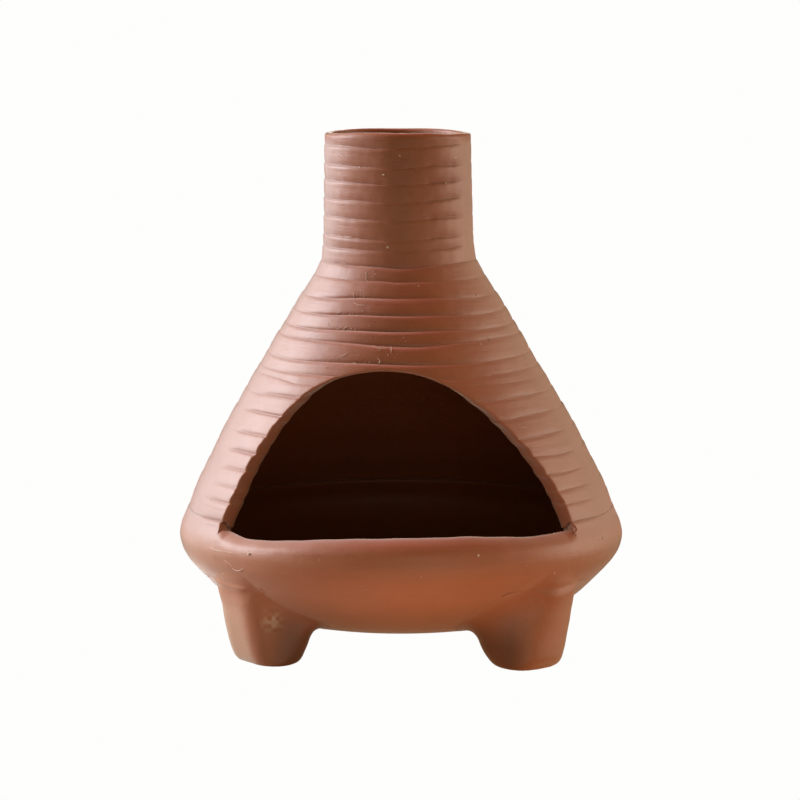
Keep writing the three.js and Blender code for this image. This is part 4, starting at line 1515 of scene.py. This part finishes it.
def area(name, azimuth, elevation, size, power, color, distance=1.8, target=(0, 0, 0.2)):
    """Rectangular light aimed at the target; azimuth in degrees from -Y towards +X."""
    light = bpy.data.lights.new(name, "AREA")
    light.shape = "RECTANGLE"
    light.size, light.size_y = size
    light.energy = power
    light.color = color
    lamp = bpy.data.objects.new(name, light)
    aim = Vector(target)
    a, e = azimuth * RAD, elevation * RAD
    away = Vector((math.sin(a) * math.cos(e), -math.cos(a) * math.cos(e), math.sin(e)))
    lamp.location = aim + away * distance
    lamp.rotation_euler = (aim - lamp.location).to_track_quat("-Z", "Y").to_euler()
    lamp.visible_camera = False
    scene.collection.objects.link(lamp)


def build_floor():
    """Plain backdrop to the camera; to everything else dull, with a painted glow of warm light in
    front.
    """
    mesh = bpy.data.meshes.new("floor")
    corners = [(sx * FLOOR_HALF, sy * FLOOR_HALF, FLOOR_Z)
               for sx, sy in ((-1, -1), (1, -1), (1, 1), (-1, 1))]
    mesh.from_pydata(corners, [], [(0, 1, 2, 3)])
    floor = bpy.data.objects.new("floor", mesh)
    scene.collection.objects.link(floor)
    material = bpy.data.materials.new("paper")
    tree = Shader(material)
    light_path = tree.node("ShaderNodeLightPath")
    white = tree.node("ShaderNodeEmission", {"Color": BACKDROP, "Strength": 1.0})
    dull = tree.node("ShaderNodeBsdfDiffuse", {"Color": (0.36, 0.34, 0.31, 1)})
    # a painted pool of warm light glows on the floor just in front and warms the underside of the
    # belly
    offset = tree.vector("SUBTRACT", tree.position(), (0.05, -0.29, 0.0))
    away = tree.node("ShaderNodeVectorMath", {0: offset}, operation="LENGTH").outputs["Value"]
    pool = tree.smoothstep(away, 0.03, 0.30, low=0.62, high=0.05)
    glow = tree.node("ShaderNodeEmission", {"Color": (1.0, 0.48, 0.19, 1), "Strength": pool})
    lit = tree.node("ShaderNodeAddShader", {0: dull.outputs[0], 1: glow.outputs[0]})
    tree.finish(tree.node("ShaderNodeMixShader", {
        0: light_path.outputs["Is Camera Ray"], 1: lit.outputs[0], 2: white.outputs[0]}))
    mesh.materials.append(material)


def build_world():
    world = bpy.data.worlds.new("studio")
    scene.world = world
    tree = Shader(world, output="ShaderNodeOutputWorld")
    light_path = tree.node("ShaderNodeLightPath")
    seen = tree.node("ShaderNodeBackground", {0: BACKDROP})
    ambient = tree.node("ShaderNodeBackground", {0: (0.75, 1.0, 0.30, 1), 1: 0.13})
    tree.finish(tree.node("ShaderNodeMixShader", {
        0: light_path.outputs["Is Camera Ray"], 1: ambient.outputs[0], 2: seen.outputs[0]}))


build_floor()
build_world()
area("key_left", azimuth=-100, elevation=22, size=(0.95, 1.15), power=39.8,
     color=(0.95, 0.98, 1.0))
area("low_left", azimuth=-106, elevation=20, size=(0.95, 1.15), power=8.0,
     color=(0.40, 0.66, 0.90))
area("low_front", azimuth=14, elevation=3, size=(0.34, 0.20), power=0.37,
     color=(1.0, 0.87, 0.78), distance=0.64, target=(0, -0.10, 0.085))
area("rim_right", azimuth=96, elevation=10, size=(0.9, 0.9), power=13.8,
     color=(1.0, 0.79, 0.64), target=(0, 0, 0.12))
area("overhead", azimuth=0, elevation=88, size=(0.9, 0.9), power=8.7, color=(1.0, 0.18, 0.20))

lens = bpy.data.cameras.new("camera")
lens.sensor_width = 36.0
lens.lens = 180.0
lens.clip_start, lens.clip_end = 0.05, 60.0
camera = bpy.data.objects.new("camera", lens)
camera.location = (0.0, -3.108, 0.602)
camera.rotation_euler = ((90 - 7.55) * RAD, 0.0, 0.0)     # tilted 7.55 degrees down
scene.collection.objects.link(camera)
scene.camera = camera
scene.view_settings.view_transform = "Standard"
scene.view_settings.look = "None"
